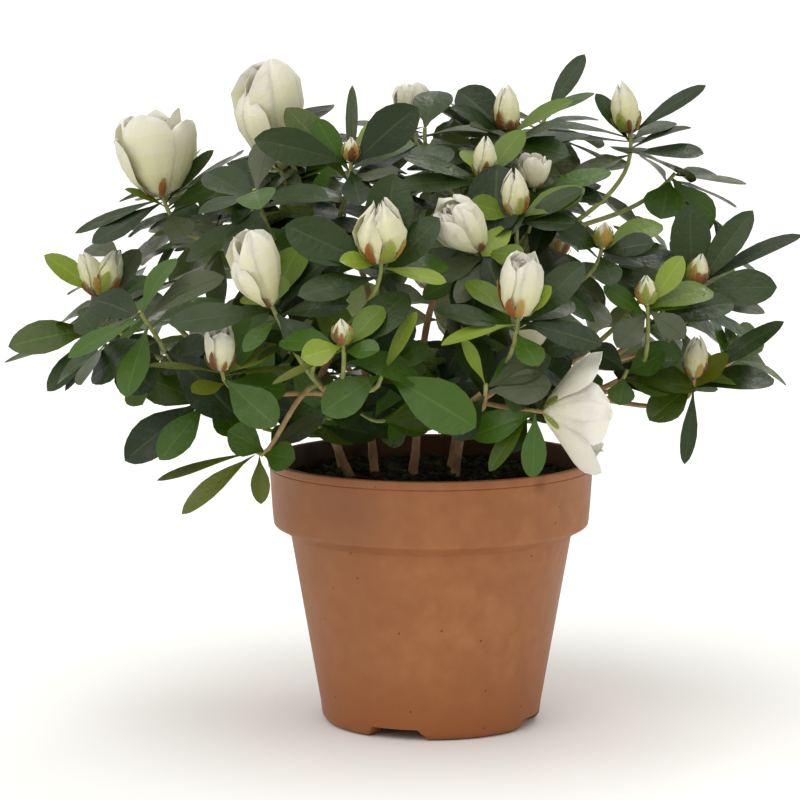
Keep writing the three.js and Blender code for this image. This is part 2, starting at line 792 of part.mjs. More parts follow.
// A leaf keeps to its mass's space where each of its points is nearer to that mass's wood and blossoms
// than to any other's, and it stays clear of the limbs, the pot, the soil and the leaves already there.
function leafFits(plan, own, others, leafBalls) {
  const overPot = (point) => Math.hypot(point.x, point.y) < pot.lipRadius + clearances.pot;
  return leafSamples(plan).every(
    (point) =>
      clearance(point, own) + clearances.mass < clearance(point, others) &&
      clearance(point, limbBalls) > clearances.limb &&
      clearance(point, leafBalls) > 0 &&
      !(overPot(point) && point.z < pot.height + clearances.pot),
  );
}

function aboveSkirt(plan) {
  return leafSamples(plan).every((point) => point.z > skirtHeight(point));
}

// Build

const stemList = stemPlans();
const boughList = boughPlans(stemList);
const limbBalls = [
  ...stemList.flatMap((plan) => ballsAlong(plan.curve, stemRadius, ballSpacing.limb)),
  ...boughList.flatMap((plan) => ballsAlong(plan.curve, boughRadius, ballSpacing.limb)),
];
const massPlans = sharedOut(allShoots(), boughList).map((shoots, index) => {
  const plans = twigPlans(boughList[index], shoots);
  const wood = plans.flatMap((plan) => ballsAlong(plan.curve, () => twigs.sideRadius, ballSpacing.twig));
  return { plans, balls: [...wood, ...shoots.flatMap(blossomBalls)] };
});

function massSolid(index) {
  const { plans, balls } = massPlans[index];
  const others = massPlans.flatMap((mass, other) => (other === index ? [] : mass.balls));
  const wood = [...plans.map(twigSolid), ...plans.flatMap((plan) => blossomSolids(plan.shoot))];
  const leaves = [];
  const leafBalls = [];
  const tryLeaf = (placed) => {
    if (!leafFits(placed, balls, others, leafBalls)) return false;
    leaves.push(leafSolid(placed));
    leafBalls.push(...bladeBalls(placed));
    return true;
  };
  for (const plan of plans) {
    plan.shoot.outline.forEach((reach, index) => tryLeaf(outlineLeafPlan(plan, reach, index)));
  }
  for (const plan of plans) {
    for (let i = plan.shoot.outline.length; i < leaf.whorl + leaf.below; i++) {
      for (let attempt = 0; attempt < leaf.tries; attempt++) {
        const placed = leafPlan(plan, i, attempt);
        if (aboveSkirt(placed) && tryLeaf(placed)) break;
      }
    }
  }
  return fusedFoliage(wood, leaves);
}

const potPlastic = new THREE.MeshStandardMaterial({ color: 0xa56c49, roughness: 0.62, metalness: 0 });
const darkSoil = new THREE.MeshStandardMaterial({ color: 0x1f1a14, roughness: 0.95, metalness: 0 });
const bark = new THREE.MeshStandardMaterial({ color: 0x8a6a4c, roughness: 0.85, metalness: 0 });
const foliage = new THREE.MeshStandardMaterial({ color: 0x2c3f2a, roughness: 0.45, metalness: 0 });

function named(name, solid, material) {
  const mesh = new THREE.Mesh(geometryOf(solid), material.clone());
  mesh.name = name;
  return mesh;
}

const shrub = new THREE.Group();
shrub.add(named("pot", potSolid(), potPlastic));
shrub.add(named("root_ball", rootBallSolid(), darkSoil));
stemList.forEach((plan, i) => shrub.add(named(`stem_${i + 1}`, stemSolid(plan), bark)));
boughList.forEach((plan, i) => shrub.add(named(`bough_${i + 1}`, boughSolid(plan), bark)));
boughList.forEach((plan, i) => shrub.add(named(`leaf_mass_${i + 1}`, massSolid(i), foliage)));

// The middle of the shrub's whole breadth and depth stands over the origin.
const middle = new THREE.Box3().setFromObject(shrub).getCenter(new THREE.Vector3());
shrub.position.set(-middle.x, -middle.y, 0);

const part = new THREE.Group();
part.add(shrub);
export default part;
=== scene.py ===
# Potted azalea shrub: the looks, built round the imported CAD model.
import math
import bpy
import numpy as np
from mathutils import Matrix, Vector, noise


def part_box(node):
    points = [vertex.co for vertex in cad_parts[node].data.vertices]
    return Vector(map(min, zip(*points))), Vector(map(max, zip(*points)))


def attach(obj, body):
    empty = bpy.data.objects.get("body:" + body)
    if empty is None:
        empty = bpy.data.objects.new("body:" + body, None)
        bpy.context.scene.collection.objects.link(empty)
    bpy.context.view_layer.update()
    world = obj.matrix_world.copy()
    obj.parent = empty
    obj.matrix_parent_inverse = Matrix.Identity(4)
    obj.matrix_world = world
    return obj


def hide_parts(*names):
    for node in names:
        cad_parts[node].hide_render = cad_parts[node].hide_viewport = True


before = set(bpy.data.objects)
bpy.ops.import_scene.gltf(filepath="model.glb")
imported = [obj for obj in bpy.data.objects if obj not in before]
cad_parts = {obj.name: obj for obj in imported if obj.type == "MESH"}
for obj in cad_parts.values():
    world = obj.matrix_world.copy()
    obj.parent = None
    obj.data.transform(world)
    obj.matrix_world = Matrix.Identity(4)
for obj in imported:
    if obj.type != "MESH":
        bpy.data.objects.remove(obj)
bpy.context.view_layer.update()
print("frame loaded:", len(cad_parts), "nodes")

# Lengths are millimetres from the pot's axis: x to the right, y to the back, z up from the floor.
potLow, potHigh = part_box("pot")
potAxis = np.array([(potLow.x + potHigh.x) / 2, (potLow.y + potHigh.y) / 2, 0.0])
metre = 1000.0
degree = math.pi / 180
goldenTurn = math.pi * (3 - math.sqrt(5))
up = np.array([0.0, 0.0, 1.0])
right = np.array([1.0, 0.0, 0.0])
back = np.array([0.0, 1.0, 0.0])

massNodes = sorted(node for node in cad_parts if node.startswith("leaf_mass"))
limbNodes = sorted(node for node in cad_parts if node.startswith(("stem", "bough")))


def mix(low, high, share):
    return low + (high - low) * share


def within(value, low, high):
    return min(max(value, low), high)


def unit(vector):
    return vector / np.linalg.norm(vector)


def square(vector, axis):  # a direction turned square to an axis
    return unit(vector - axis * float(vector @ axis))


def aimed(turn, climb):
    flat = math.cos(climb)
    return np.array([flat * math.cos(turn), flat * math.sin(turn), math.sin(climb)])


def leaned(axis, side, turn, tilt):  # leaned off an axis by a tilt, at a turn from its side
    across = side * math.cos(turn) + np.cross(axis, side) * math.sin(turn)
    return axis * math.cos(tilt) + across * math.sin(tilt)


lowBits = 0xFFFFFFFF
streamStep = 0x6D2B79F5


def dice(seed):  # an even stream of numbers from 0 to 1 that repeats for the same seed
    state = seed & lowBits

    def roll():
        nonlocal state
        state = (state + streamStep) & lowBits
        mixed = ((state ^ (state >> 15)) * (state | 1)) & lowBits
        mixed ^= (mixed + (mixed ^ (mixed >> 7)) * (mixed | 61)) & lowBits
        return (mixed ^ (mixed >> 14)) / (lowBits + 1)

    return roll


def smooth(points, shares):  # a soft curve through a few named points
    places, values = np.array(points, float).T
    slopes = np.gradient(values, places)
    step = np.clip(np.searchsorted(places, shares, side="right") - 1, 0, len(places) - 2)
    width = places[step + 1] - places[step]
    t = (shares - places[step]) / width
    low, high = values[step], values[step + 1]
    rise = high - low
    a = slopes[step] * width - rise
    b = -slopes[step + 1] * width + rise
    return low + t * rise + t * (1 - t) * (a * (1 - t) + b * t)


def inMetres(points):
    return np.asarray(points, float) / metre + potAxis


def fromPotAxis(place):  # a place on a mesh, back in millimetres
    return np.array(place) * metre - potAxis * metre


# Each finished piece moves with the part, and the CAD nodes it stands for are hidden.
def finishPiece(piece, slot, *nodes):
    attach(piece, "root")
    if nodes:
        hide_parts(*nodes)


def smoothed(piece, angle):  # shaded soft where faces meet at less than the angle
    bpy.ops.object.select_all(action="DESELECT")
    piece.select_set(True)
    bpy.context.view_layer.objects.active = piece
    bpy.ops.object.shade_smooth_by_angle(angle=angle * degree)


# Shader groups that several finishes share
def newGroup(name, inputs, output):
    group = bpy.data.node_groups.new(name, "ShaderNodeTree")
    for label, value in inputs.items():
        socket = group.interface.new_socket(label, in_out="INPUT", socket_type="NodeSocketFloat")
        socket.default_value = value
    group.interface.new_socket(output, in_out="OUTPUT", socket_type="NodeSocketFloat")
    return group, group.nodes.new("NodeGroupInput"), group.nodes.new("NodeGroupOutput")


def objectPlace(tree):
    return tree.nodes.new("ShaderNodeTexCoord").outputs["Object"]


def mathNode(tree, operation, first, second):
    node = tree.nodes.new("ShaderNodeMath")
    node.operation = operation
    for socket, value in zip(node.inputs, (first, second)):
        if isinstance(value, (int, float)):
            socket.default_value = value
        else:
            tree.links.new(value, socket)
    return node.outputs[0]


def texture(tree, kind, size):  # a texture whose features have that size
    node = tree.nodes.new(kind)
    tree.links.new(objectPlace(tree), node.inputs["Vector"])
    tree.links.new(mathNode(tree, "DIVIDE", 1.0, size), node.inputs["Scale"])
    return node


def makeBlotches():  # soft uneven patches, as 0 to 1
    group, start, end = newGroup("blotches", {"Size": 0.01, "Contrast": 1.0}, "Mask")
    spots = texture(group, "ShaderNodeTexNoise", start.outputs["Size"])
    spots.inputs["Detail"].default_value = 4
    centred = mathNode(group, "SUBTRACT", spots.outputs["Fac"], 0.5)
    spread = mathNode(group, "MULTIPLY", centred, start.outputs["Contrast"])
    group.links.new(mathNode(group, "ADD", spread, 0.5), end.inputs["Mask"])
    return group


def makeGrain():  # a fine relief, as 0 to 1
    group, start, end = newGroup("grain", {"Size": 0.001, "Roughness": 0.6}, "Height")
    fine = texture(group, "ShaderNodeTexNoise", start.outputs["Size"])
    fine.inputs["Detail"].default_value = 3
    group.links.new(start.outputs["Roughness"], fine.inputs["Roughness"])
    group.links.new(fine.outputs["Fac"], end.inputs["Height"])
    return group


def makeSpecks():  # small separate dots, as 0 or 1
    group, start, end = newGroup("specks", {"Spacing": 0.01, "Radius": 0.1}, "Mask")
    cells = texture(group, "ShaderNodeTexVoronoi", start.outputs["Spacing"])
    mask = mathNode(group, "LESS_THAN", cells.outputs["Distance"], start.outputs["Radius"])
    group.links.new(mask, end.inputs["Mask"])
    return group


blotches, grain, specks = makeBlotches(), makeGrain(), makeSpecks()


def screenColour(colour):  # red, green and blue from 0 to 255, as on a screen
    def linear(value):
        value /= 255
        return value / 12.92 if value <= 0.04045 else ((value + 0.055) / 1.055) ** 2.4

    return (*(linear(value) for value in colour), 1.0)


def newMaterial(name, colour, roughness=0.5, specular=0.5):
    material = bpy.data.materials.new(name)
    material.use_nodes = True
    shader = material.node_tree.nodes["Principled BSDF"]
    shader.inputs["Base Color"].default_value = screenColour(colour)
    shader.inputs["Roughness"].default_value = roughness
    shader.inputs["Specular IOR Level"].default_value = specular
    return material, material.node_tree, shader


def placed(tree, group, **values):  # a shared group, set to a finish's own values
    node = tree.nodes.new("ShaderNodeGroup")
    node.node_tree = group
    for label, value in values.items():
        node.inputs[label].default_value = value
    return node.outputs[0]


def ranged(tree, value, low, high, start=0.0, end=1.0):  # start to end turned into low to high
    node = tree.nodes.new("ShaderNodeMapRange")
    for label, limit in (("From Min", start), ("From Max", end), ("To Min", low), ("To Max", high)):
        node.inputs[label].default_value = limit
    tree.links.new(value, node.inputs["Value"])
    return node.outputs["Result"]


def blended(tree, mask, under, over):  # one colour laid over another through a mask
    node = tree.nodes.new("ShaderNodeMix")
    node.data_type = "RGBA"
    tree.links.new(mask, node.inputs["Factor"])
    for socket, colour in zip((node.inputs["A"], node.inputs["B"]), (under, over)):
        if isinstance(colour, tuple):
            socket.default_value = colour
        else:
            tree.links.new(colour, socket)
    return node.outputs["Result"]


def grainRelief(tree, shader, look):  # a bump by the fine grain, its depth in metres
    bump = tree.nodes.new("ShaderNodeBump")
    bump.inputs["Distance"].default_value = look["grainDepth"]
    tree.links.new(placed(tree, grain, **look["grain"]), bump.inputs["Height"])
    tree.links.new(bump.outputs["Normal"], shader.inputs["Normal"])


def twoTone(name, tones, look):  # a dark and a light tone in soft patches
    material, tree, shader = newMaterial(name, tones[0], look["roughness"], look["specular"])
    patches = placed(tree, blotches, **look["patches"])
    colour = blended(tree, patches, *(screenColour(tone) for tone in tones))
    tree.links.new(colour, shader.inputs["Base Color"])
    grainRelief(tree, shader, look)
    return material


# Turned shapes, drawn up ring by ring from a circle
def turnedShell(name, profile, sides):
    bpy.ops.object.select_all(action="DESELECT")
    radius, height = profile[0]
    bpy.ops.mesh.primitive_circle_add(
        vertices=sides, radius=radius / metre, location=(potAxis[0], potAxis[1], height / metre)
    )
    shell = bpy.context.object
    shell.name = name
    bpy.ops.object.mode_set(mode="EDIT")
    bpy.ops.mesh.select_all(action="SELECT")
    for nextRadius, nextHeight in profile[1:]:
        lift = (0, 0, (nextHeight - height) / metre)
        bpy.ops.mesh.extrude_edges_move(TRANSFORM_OT_translate={"value": lift})
        widen = nextRadius / radius
        middle = (potAxis[0], potAxis[1], nextHeight / metre)
        bpy.ops.transform.resize(value=(widen, widen, 1), center_override=middle)
        radius, height = nextRadius, nextHeight
    bpy.ops.mesh.select_all(action="SELECT")
    bpy.ops.mesh.fill_holes(sides=0)
    bpy.ops.mesh.normals_make_consistent(inside=False)
    bpy.ops.object.mode_set(mode="OBJECT")
    bpy.ops.object.transform_apply(location=True, rotation=True, scale=True)
    return shell


def arc(centre, radius, fromTurn, toTurn, steps):  # points of a round stretch of a profile
    turns = [mix(fromTurn, toTurn, step / steps) * degree for step in range(steps + 1)]
    return [(centre[0] + radius * math.cos(t), centre[1] + radius * math.sin(t)) for t in turns]


# Pot
potForm = {
    "height": 99.5,
    "rimRadius": 60.3,
    "lipRadius": 60.9,
    "lipHeight": 3.5,
    "lipUnderside": 0.6,
    "lipRound": 0.5,
    "grooveDepth": 0.25,
    "grooveHeight": 0.35,
    "collarHeight": 25.4,
    "collarFootRadius": 58.9,
    "collarRound": 2.0,
    "collarRings": (0.3, 0.6, 1.0),
    "underCollarRise": 3.0,
    "neckRadius": 52.5,
    "neckGap": 1.2,
    "wall": 1.6,
    "wallRings": (8, 20, 35, 50),
    "innerRing": 35,
    "baseRadius": 41.0,
    "baseHeight": 5,
    "baseRound": 4.0,
    "footOuterRadius": 37.0,
    "footInnerRadius": 31.5,
    "footSlant": 0.5,
    "floorUnderside": 4.6,
    "floorThickness": 1.7,
    "sides": 144,
    "notches": 4,
    "notchTurn": -109.6,
    "notchWidth": 17.0,
    "notchSlant": 2.2,
    "notchHeight": 4.3,
    "drainHoles": 6,
    "drainSides": 24,
    "drainRadius": 3.5,
    "drainRing": 20.0,
    "drainDepth": 10,
    "waver": 0.12,
    "waves": ((2, 1.0, 0.6), (3, 0.6, 2.1)),  # of each: how many round the pot, size, phase
    "smoothAngle": 35,
}


def potProfile():
    form = potForm
    collarFoot = form["height"] - form["collarHeight"]
    neck = collarFoot - form["underCollarRise"]
    lipFoot = form["height"] - form["lipHeight"]
    floorTop = form["floorUnderside"] + form["floorThickness"]
    lip = form["lipRound"]
    outer = form["lipRadius"]
    inner = form["rimRadius"] - form["wall"]
    bend = form["collarRound"]
    bendCentre = form["collarFootRadius"] - bend

    def wallRadius(height):
        rise = (height - form["baseHeight"]) / (neck - form["baseHeight"])
        return mix(form["baseRadius"], form["neckRadius"], rise)

    return [
        (form["footInnerRadius"], form["floorUnderside"]),
        (form["footInnerRadius"] + form["footSlant"], 0.0),
        *arc((form["footOuterRadius"], form["baseRound"]), form["baseRound"], -90, -10, 5),
        *((wallRadius(height), height) for height in (*form["wallRings"], neck - form["neckGap"])),
        (form["neckRadius"], neck),
        (bendCentre, collarFoot),
        *arc((bendCentre, collarFoot + bend), bend, -70, 0, 4),
        *((mix(form["collarFootRadius"], form["rimRadius"], share), mix(collarFoot, lipFoot, share))
          for share in form["collarRings"]),
        (form["rimRadius"] - form["grooveDepth"], lipFoot + form["grooveHeight"]),
        *arc((outer - lip, lipFoot + form["lipUnderside"] + lip), lip, -45, 0, 2),
        *arc((outer - lip, form["height"] - lip), lip, 0, 90, 3),
        *arc((inner + lip, form["height"] - lip), lip, 90, 180, 3),
        (form["collarFootRadius"] - form["wall"], collarFoot + form["wall"]),
        (form["neckRadius"] - form["wall"], neck),
        (wallRadius(form["innerRing"]) - form["wall"], form["innerRing"]),
        (wallRadius(floorTop) - form["wall"], floorTop),
    ]


def cutNotches(pot):  # gaps between the feet, lifted into the foot ring with slanting ends
    form = potForm
    halfTurn = (form["notchWidth"] / 2) / form["footOuterRadius"] / degree
    slantTurn = form["notchSlant"] / form["footOuterRadius"] / degree
    for vertex in pot.data.vertices:
        place = fromPotAxis(vertex.co)
        if place[2] >= form["notchHeight"]:
            continue
        turn = math.atan2(place[1], place[0]) / degree
        nearest = min(
            abs((turn - form["notchTurn"] - index * 360 / form["notches"] + 180) % 360 - 180)
            for index in range(form["notches"])
        )
        share = within((halfTurn + slantTurn - nearest) / slantTurn, 0.0, 1.0)
        vertex.co.z = max(vertex.co.z, share * form["notchHeight"] / metre)


def cutDrains(pot):
    form = potForm
    for index in range(form["drainHoles"]):
        turn = (index + 0.5) * 2 * math.pi / form["drainHoles"]
        place = inMetres(form["drainRing"] * aimed(turn, 0) + up * form["floorUnderside"])
        bpy.ops.object.select_all(action="DESELECT")
        bpy.ops.mesh.primitive_cylinder_add(
            vertices=form["drainSides"],
            radius=form["drainRadius"] / metre,
            depth=form["drainDepth"] / metre,
            location=place,
        )
        cutter = bpy.context.object
        cut = pot.modifiers.new("drain", "BOOLEAN")
        cut.operation = "DIFFERENCE"
        cut.object = cutter
        bpy.context.view_layer.objects.active = pot
        bpy.ops.object.modifier_apply(modifier=cut.name)
        bpy.data.objects.remove(cutter)


def waverWalls(pot):  # thin moulded walls are never quite true
    for vertex in pot.data.vertices:
        place = fromPotAxis(vertex.co)
        turn = math.atan2(place[1], place[0])
        swell = sum(size * math.sin(count * turn + phase) for count, size, phase in potForm["waves"])
        out = potForm["waver"] * swell * place[2] / potForm["height"]
        vertex.co += Vector((math.cos(turn), math.sin(turn), 0)) * out / metre


potTints = {
    "clay": (157, 100, 60),
    "clayPale": (166, 110, 69),
    "clayFine": (142, 86, 50),
    # painted shade: the pot's left side darker, under the overhanging foliage
    "leftShade": (140, 92, 57),
    "footTint": (142, 80, 34),
    "speck": (84, 52, 38),
    "stain": (112, 66, 42),
    # painted shade on the collar, under the foliage
    "collarShade": (124, 82, 62),
    # painted shade inside the pot, as dark as peat
    "innerShadeTint": (30, 23, 16),
}

# Patches, grain and specks are in metres, as the shader reads them, and all other lengths in millimetres.
# A side's tint has an axis, the places where it starts and is full, a depth and a name. A spot has a middle,
# a radius, a depth and a name, and a set of specks a spacing, a radius to the spacing, and a depth.
potLook = {
    "specular": 0.25,
    "roughness": (0.44, 0.6),
    "patches": {"Size": 0.022, "Contrast": 2.8},
    "finePatches": {"Size": 0.006, "Contrast": 3.0},
    "fineDepth": 0.5,
    # the left side's tint is painted shade under the foliage
    "sides": (("X", 5, -50, 0.75, "leftShade"), ("Z", 30, 4, 0.7, "footTint")),
    # the first spot is painted shade on the collar under the foliage, the second a stain
    "spots": (((-29, -52, 87), 20.0, 0.45, "collarShade"), ((39, -46, 96), 4.5, 0.6, "stain")),
    "spotCore": 0.2,
    "specks": ((0.009, 0.05, 0.8), (0.0045, 0.035, 0.5)),
    "lineSpacing": 13.195,
    "lineWaver": 1.2,
    "lineDepth": 0.07,
    "grain": {"Size": 0.0012, "Roughness": 0.6},
    "grainDepth": 0.00012,
    # painted shade on the inner wall: its depth, its faintest share, and the heights it spans
    "innerShade": 0.9,
    "thinInnerShade": 0.6,
    "innerShadeFoot": 6.3,
    "innerShadeTop": 97.0,
}
waveRadians = 20  # how far a wave texture turns in one unit


def sideMask(tree, axis, start, full, depth):
    parts = tree.nodes.new("ShaderNodeSeparateXYZ")
    tree.links.new(objectPlace(tree), parts.inputs[0])
    middle = potAxis["XYZ".index(axis)]
    return ranged(tree, parts.outputs[axis], 0.0, depth, middle + start / metre, middle + full / metre)


def spotMask(tree, centre, radius, depth):
    apart = tree.nodes.new("ShaderNodeVectorMath")
    apart.operation = "DISTANCE"
    apart.inputs[1].default_value = inMetres(centre)
    tree.links.new(objectPlace(tree), apart.inputs[0])
    core = potLook["spotCore"] * radius
    return ranged(tree, apart.outputs["Value"], 0.0, depth, radius / metre, core / metre)


def speckMask(tree, spacing, radius, depth):
    return ranged(tree, placed(tree, specks, Spacing=spacing, Radius=radius), 0.0, depth)


def mouldLines(tree):  # faint rings left by the mould
    wave = tree.nodes.new("ShaderNodeTexWave")
    wave.bands_direction = "Z"
    wave.inputs["Scale"].default_value = 2 * math.pi / waveRadians * metre / potLook["lineSpacing"]
    wave.inputs["Distortion"].default_value = potLook["lineWaver"]
    tree.links.new(objectPlace(tree), wave.inputs["Vector"])
    return ranged(tree, wave.outputs["Fac"], 0.0, potLook["lineDepth"])


def potMaterial(name, innerShade):
    look = potLook
    tints = {tint: screenColour(colour) for tint, colour in potTints.items()}
    material, tree, shader = newMaterial(name, potTints["clay"], specular=look["specular"])
    patches = placed(tree, blotches, **look["patches"])
    fine = placed(tree, blotches, **look["finePatches"])
    layers = [
        (patches, "clayPale"),
        *((sideMask(tree, *side), tint) for *side, tint in look["sides"]),
        (ranged(tree, fine, 0.0, look["fineDepth"]), "clayFine"),
        (mouldLines(tree), "clayFine"),
        *((spotMask(tree, *spot), tint) for *spot, tint in look["spots"]),
        *((speckMask(tree, *dots), "speck") for dots in look["specks"]),
    ]
    # painted shade in dark patches, for the inner wall's finish
    if innerShade:
        layers.append((ranged(tree, patches, look["thinInnerShade"] * innerShade, innerShade), "innerShadeTint"))
    colour = tints["clay"]
    for mask, tint in layers:
        colour = blended(tree, mask, colour, tints[tint])
    tree.links.new(colour, shader.inputs["Base Color"])
    tree.links.new(ranged(tree, patches, *look["roughness"]), shader.inputs["Roughness"])
    grainRelief(tree, shader, look)
    return material


def shadeInside(pot):  # the inner wall's faces take the finish darkened by painted shade
    for face in pot.data.polygons:
        place = fromPotAxis(face.center)
        inward = face.normal.x * place[0] + face.normal.y * place[1] < 0
        if inward and potLook["innerShadeFoot"] < place[2] < potLook["innerShadeTop"]:
            face.material_index = 1


def makePot():
    pot = turnedShell("nurseryPot", potProfile(), potForm["sides"])
    cutNotches(pot)
    waverWalls(pot)
    cutDrains(pot)
    pot.data.materials.append(potMaterial("terracottaPlastic", 0.0))
    pot.data.materials.append(potMaterial("innerShadedPlastic", potLook["innerShade"]))
    shadeInside(pot)
    smoothed(pot, potForm["smoothAngle"])
    finishPiece(pot, "pot_plastic", "pot")


makePot()
print("pot made")


# Soil
soilForm = {
    "top": 94.0,
    "topBand": 1,
    "settling": 0.6,
    "flatRing": 36,
    "fallWidth": 21,
    "edgeDrop": 2.5,
    "edgeStep": 2,
    "clearance": 1.9,
    "footRadius": 41.2,
    "footGap": 0.3,
    "sides": 120,
    "rings": 26,
    "lumpHeight": 1.6,
    "lumpSize": 9.0,
    "fineHeight": 0.7,
    "fineSize": 2.6,
    "fineLayer": 50,
    "smoothAngle": 50,
}
soilLook = {
    "roughness": 0.95,
    "specular": 0.2,
    "patches": {"Size": 0.006, "Contrast": 2.5},
    "grain": {"Size": 0.0008, "Roughness": 0.7},
    "grainDepth": 0.0005,
}
soilTones = ((20, 17, 11), (44, 38, 24))


def soilHeight(x, y):  # a domed top with lumps
    form = soilForm
    fall = form["edgeDrop"] * max(0.0, (math.hypot(x, y) - form["flatRing"]) / form["fallWidth"])
    lumps = noise.noise(Vector((x, y, 0)) / form["lumpSize"]) * form["lumpHeight"]
    fine = noise.noise(Vector((x, y, form["fineLayer"])) / form["fineSize"]) * form["fineHeight"]
    return form["top"] - form["settling"] - fall + lumps + fine


def soilProfile():
    pot, form = potForm, soilForm
    floorTop = pot["floorUnderside"] + pot["floorThickness"] + form["footGap"]
    collarFoot = pot["height"] - pot["collarHeight"]
    neck = collarFoot - pot["underCollarRise"]
    side = form["clearance"]
    edge = form["top"] - form["edgeDrop"]
    rim = mix(pot["collarFootRadius"], pot["rimRadius"], (edge - collarFoot) / pot["collarHeight"]) - side
    walls = [(form["footRadius"] - side, floorTop), (pot["neckRadius"] - side, neck),
             (pot["collarFootRadius"] - side, collarFoot + side), (rim, edge - form["edgeStep"])]
    rings = [(rim * (1 - step / form["rings"]), form["top"]) for step in range(form["rings"])]
    return walls + rings


def makeSoil():
    soil = turnedShell("moistPeat", soilProfile(), soilForm["sides"])
    for vertex in soil.data.vertices:
        x, y, z = fromPotAxis(vertex.co)
        if z > soilForm["top"] - soilForm["topBand"]:
            vertex.co.z = soilHeight(x, y) / metre
    soil.data.materials.append(twoTone("peat", soilTones, soilLook))
    smoothed(soil, soilForm["smoothAngle"])
    finishPiece(soil, "peat", "root_ball")


# Many small shapes joined into one mesh, with one material's number for all faces of a shape or for each
class Heap:
    def __init__(self):
        self.points = []
        self.faces = []
        self.tones = []
        self.count = 0

    def add(self, points, faces, tones):
        self.points.append(points)
        self.faces.extend([[corner + self.count for corner in face] for face in faces])
        self.tones.extend(tones if isinstance(tones, list) else [tones] * len(faces))
        self.count += len(points)

    def make(self, name, materials, smoothAngle=None):
        mesh = bpy.data.meshes.new(name)
        mesh.from_pydata(inMetres(np.concatenate(self.points)).tolist(), [], self.faces)
        for material in materials:
            mesh.materials.append(material)
        mesh.polygons.foreach_set("material_index", self.tones)
        mesh.polygons.foreach_set("use_smooth", [smoothAngle is not None] * len(self.faces))
        mesh.update()
        piece = bpy.data.objects.new(name, mesh)
        bpy.context.scene.collection.objects.link(piece)
        if smoothAngle:
            smoothed(piece, smoothAngle)
        print(name, "made:", sum(len(face) - 2 for face in self.faces), "triangles")
        return piece


crumbForm = {
    "count": 520,
    "seed": 77,
    "smallest": 0.5,
    "largest": 2.1,
    "ring": 56.0,
    "stretch": ((0.7, 1.5), (0.6, 1.1), (0.5, 0.9)),
    "core": 0.8,
    "roughness": 0.45,
    "lift": 0.2,
    "darkShare": 0.5,
    "brownShare": 0.5,
}
crumbTones = {
    "crumbDark": ((18, 15, 10), (36, 30, 20)),
    "crumbBrown": ((48, 36, 22), (76, 60, 38)),
    "crumbMoss": ((40, 52, 18), (74, 88, 34)),
}


def pebbleShape():  # a primitive's corners and faces, to be copied
    bpy.ops.object.select_all(action="DESELECT")
    bpy.ops.mesh.primitive_ico_sphere_add(subdivisions=1, radius=1)
    ball = bpy.context.object
    corners = np.array([vertex.co[:] for vertex in ball.data.vertices])
    faces = [list(face.vertices) for face in ball.data.polygons]
    bpy.data.objects.remove(ball)
    return corners, faces


def makeCrumbs():
    form = crumbForm
    corners, faces = pebbleShape()
    heap = Heap()
    chance = dice(form["seed"])
    for index in range(form["count"]):
        turn = index * goldenTurn
        reach = form["ring"] * math.sqrt((index + 0.5) / form["count"])
        x, y = reach * math.cos(turn), reach * math.sin(turn)
        size = mix(form["smallest"], form["largest"], chance() ** 2)
        stretch = np.array([mix(*limits, chance()) for limits in form["stretch"]])
        spin = chance() * 2 * math.pi
        rough = np.array([form["core"] + form["roughness"] * chance() for _ in corners])[:, None]
        across, deep, high = (corners * rough * stretch * size).T
        turned = np.stack([
            across * math.cos(spin) - deep * math.sin(spin),
            across * math.sin(spin) + deep * math.cos(spin),
            high,
        ], axis=1)
        tone = 0 if chance() < form["darkShare"] else 1 if chance() < form["brownShare"] else 2
        heap.add(turned + np.array([x, y, soilHeight(x, y) + form["lift"] * size]), faces, tone)
    materials = [twoTone(name, tones, soilLook) for name, tones in crumbTones.items()]
    finishPiece(heap.make("peatCrumbs", materials), "peat")


makeSoil()
makeCrumbs()
print("soil made")

# The plant's rule: stems, boughs, shoots and twigs, each worked out from a few sizes
heart = np.array([-11.0, 0.0, 112.0])
dome = {"side": 123, "top": 112, "fullness": 2.5, "lowestClimb": 10, "unevenness": 0.12}
tipRule = {"count": 80, "spacing": 28, "wander": 0.4, "outward": 0.75, "leafyUp": 0.5, "blossomUp": 1.1}
namedFront = {"back": -45, "height": 150, "lean": 0.4}
hiddenBlossoms = {
    "back": 45,
    "height": 195,
    "kinds": ("bud", "leaf", "cup", "leaf", "point", "leaf", "bud", "cup", "leaf"),
    "heights": {"bud": 18, "cup": 26, "point": 11, "leaf": 0},
    "heightRange": (0.85, 1.15),
}
skirt = {"height": 108, "lift": 13, "from": 40, "to": 88}
# Where each stream of chance starts and its steps, and how far the bark's lumps shift from limb to limb
seeds = {
    "stems": 300,
    "tips": 1000,
    "shoots": 5000,
    "shootStep": 100,
    "leafStep": 10,
    "shownLeaves": 500,
    "leafTones": 7,
    "blossoms": 13,
    "scales": 5,
    "finer": 3,
    "finerStep": 41,
    "inner": 30000,
    "innerBough": 100,
    "innerStep": 17,
    "barkStep": 3.7,
    "boughBark": 50,
    "twigBark": 0.37,
}

stemForm = {
    "outer": 4,
    "inner": 2,
    "centre": (-14, 3),
    "outerTurn": 45,
    "innerTurn": 0,
    "outerRing": (26, 17),
    "innerRing": (8, 6),
    "outerRise": 30,
    "innerRise": 44,
    "outerLean": 13,
    "innerLean": 3,
    "foot": 94.3,
    "footRadius": 1.65,
    "tipRadius": 1.4,
    "flare": 0.35,
    "flareHeight": 0.3,
    "footWander": 9.0,
    "footSink": 3.5,
    "sides": 16,
    "spacing": 1.2,
    "roughness": 0.22,
}

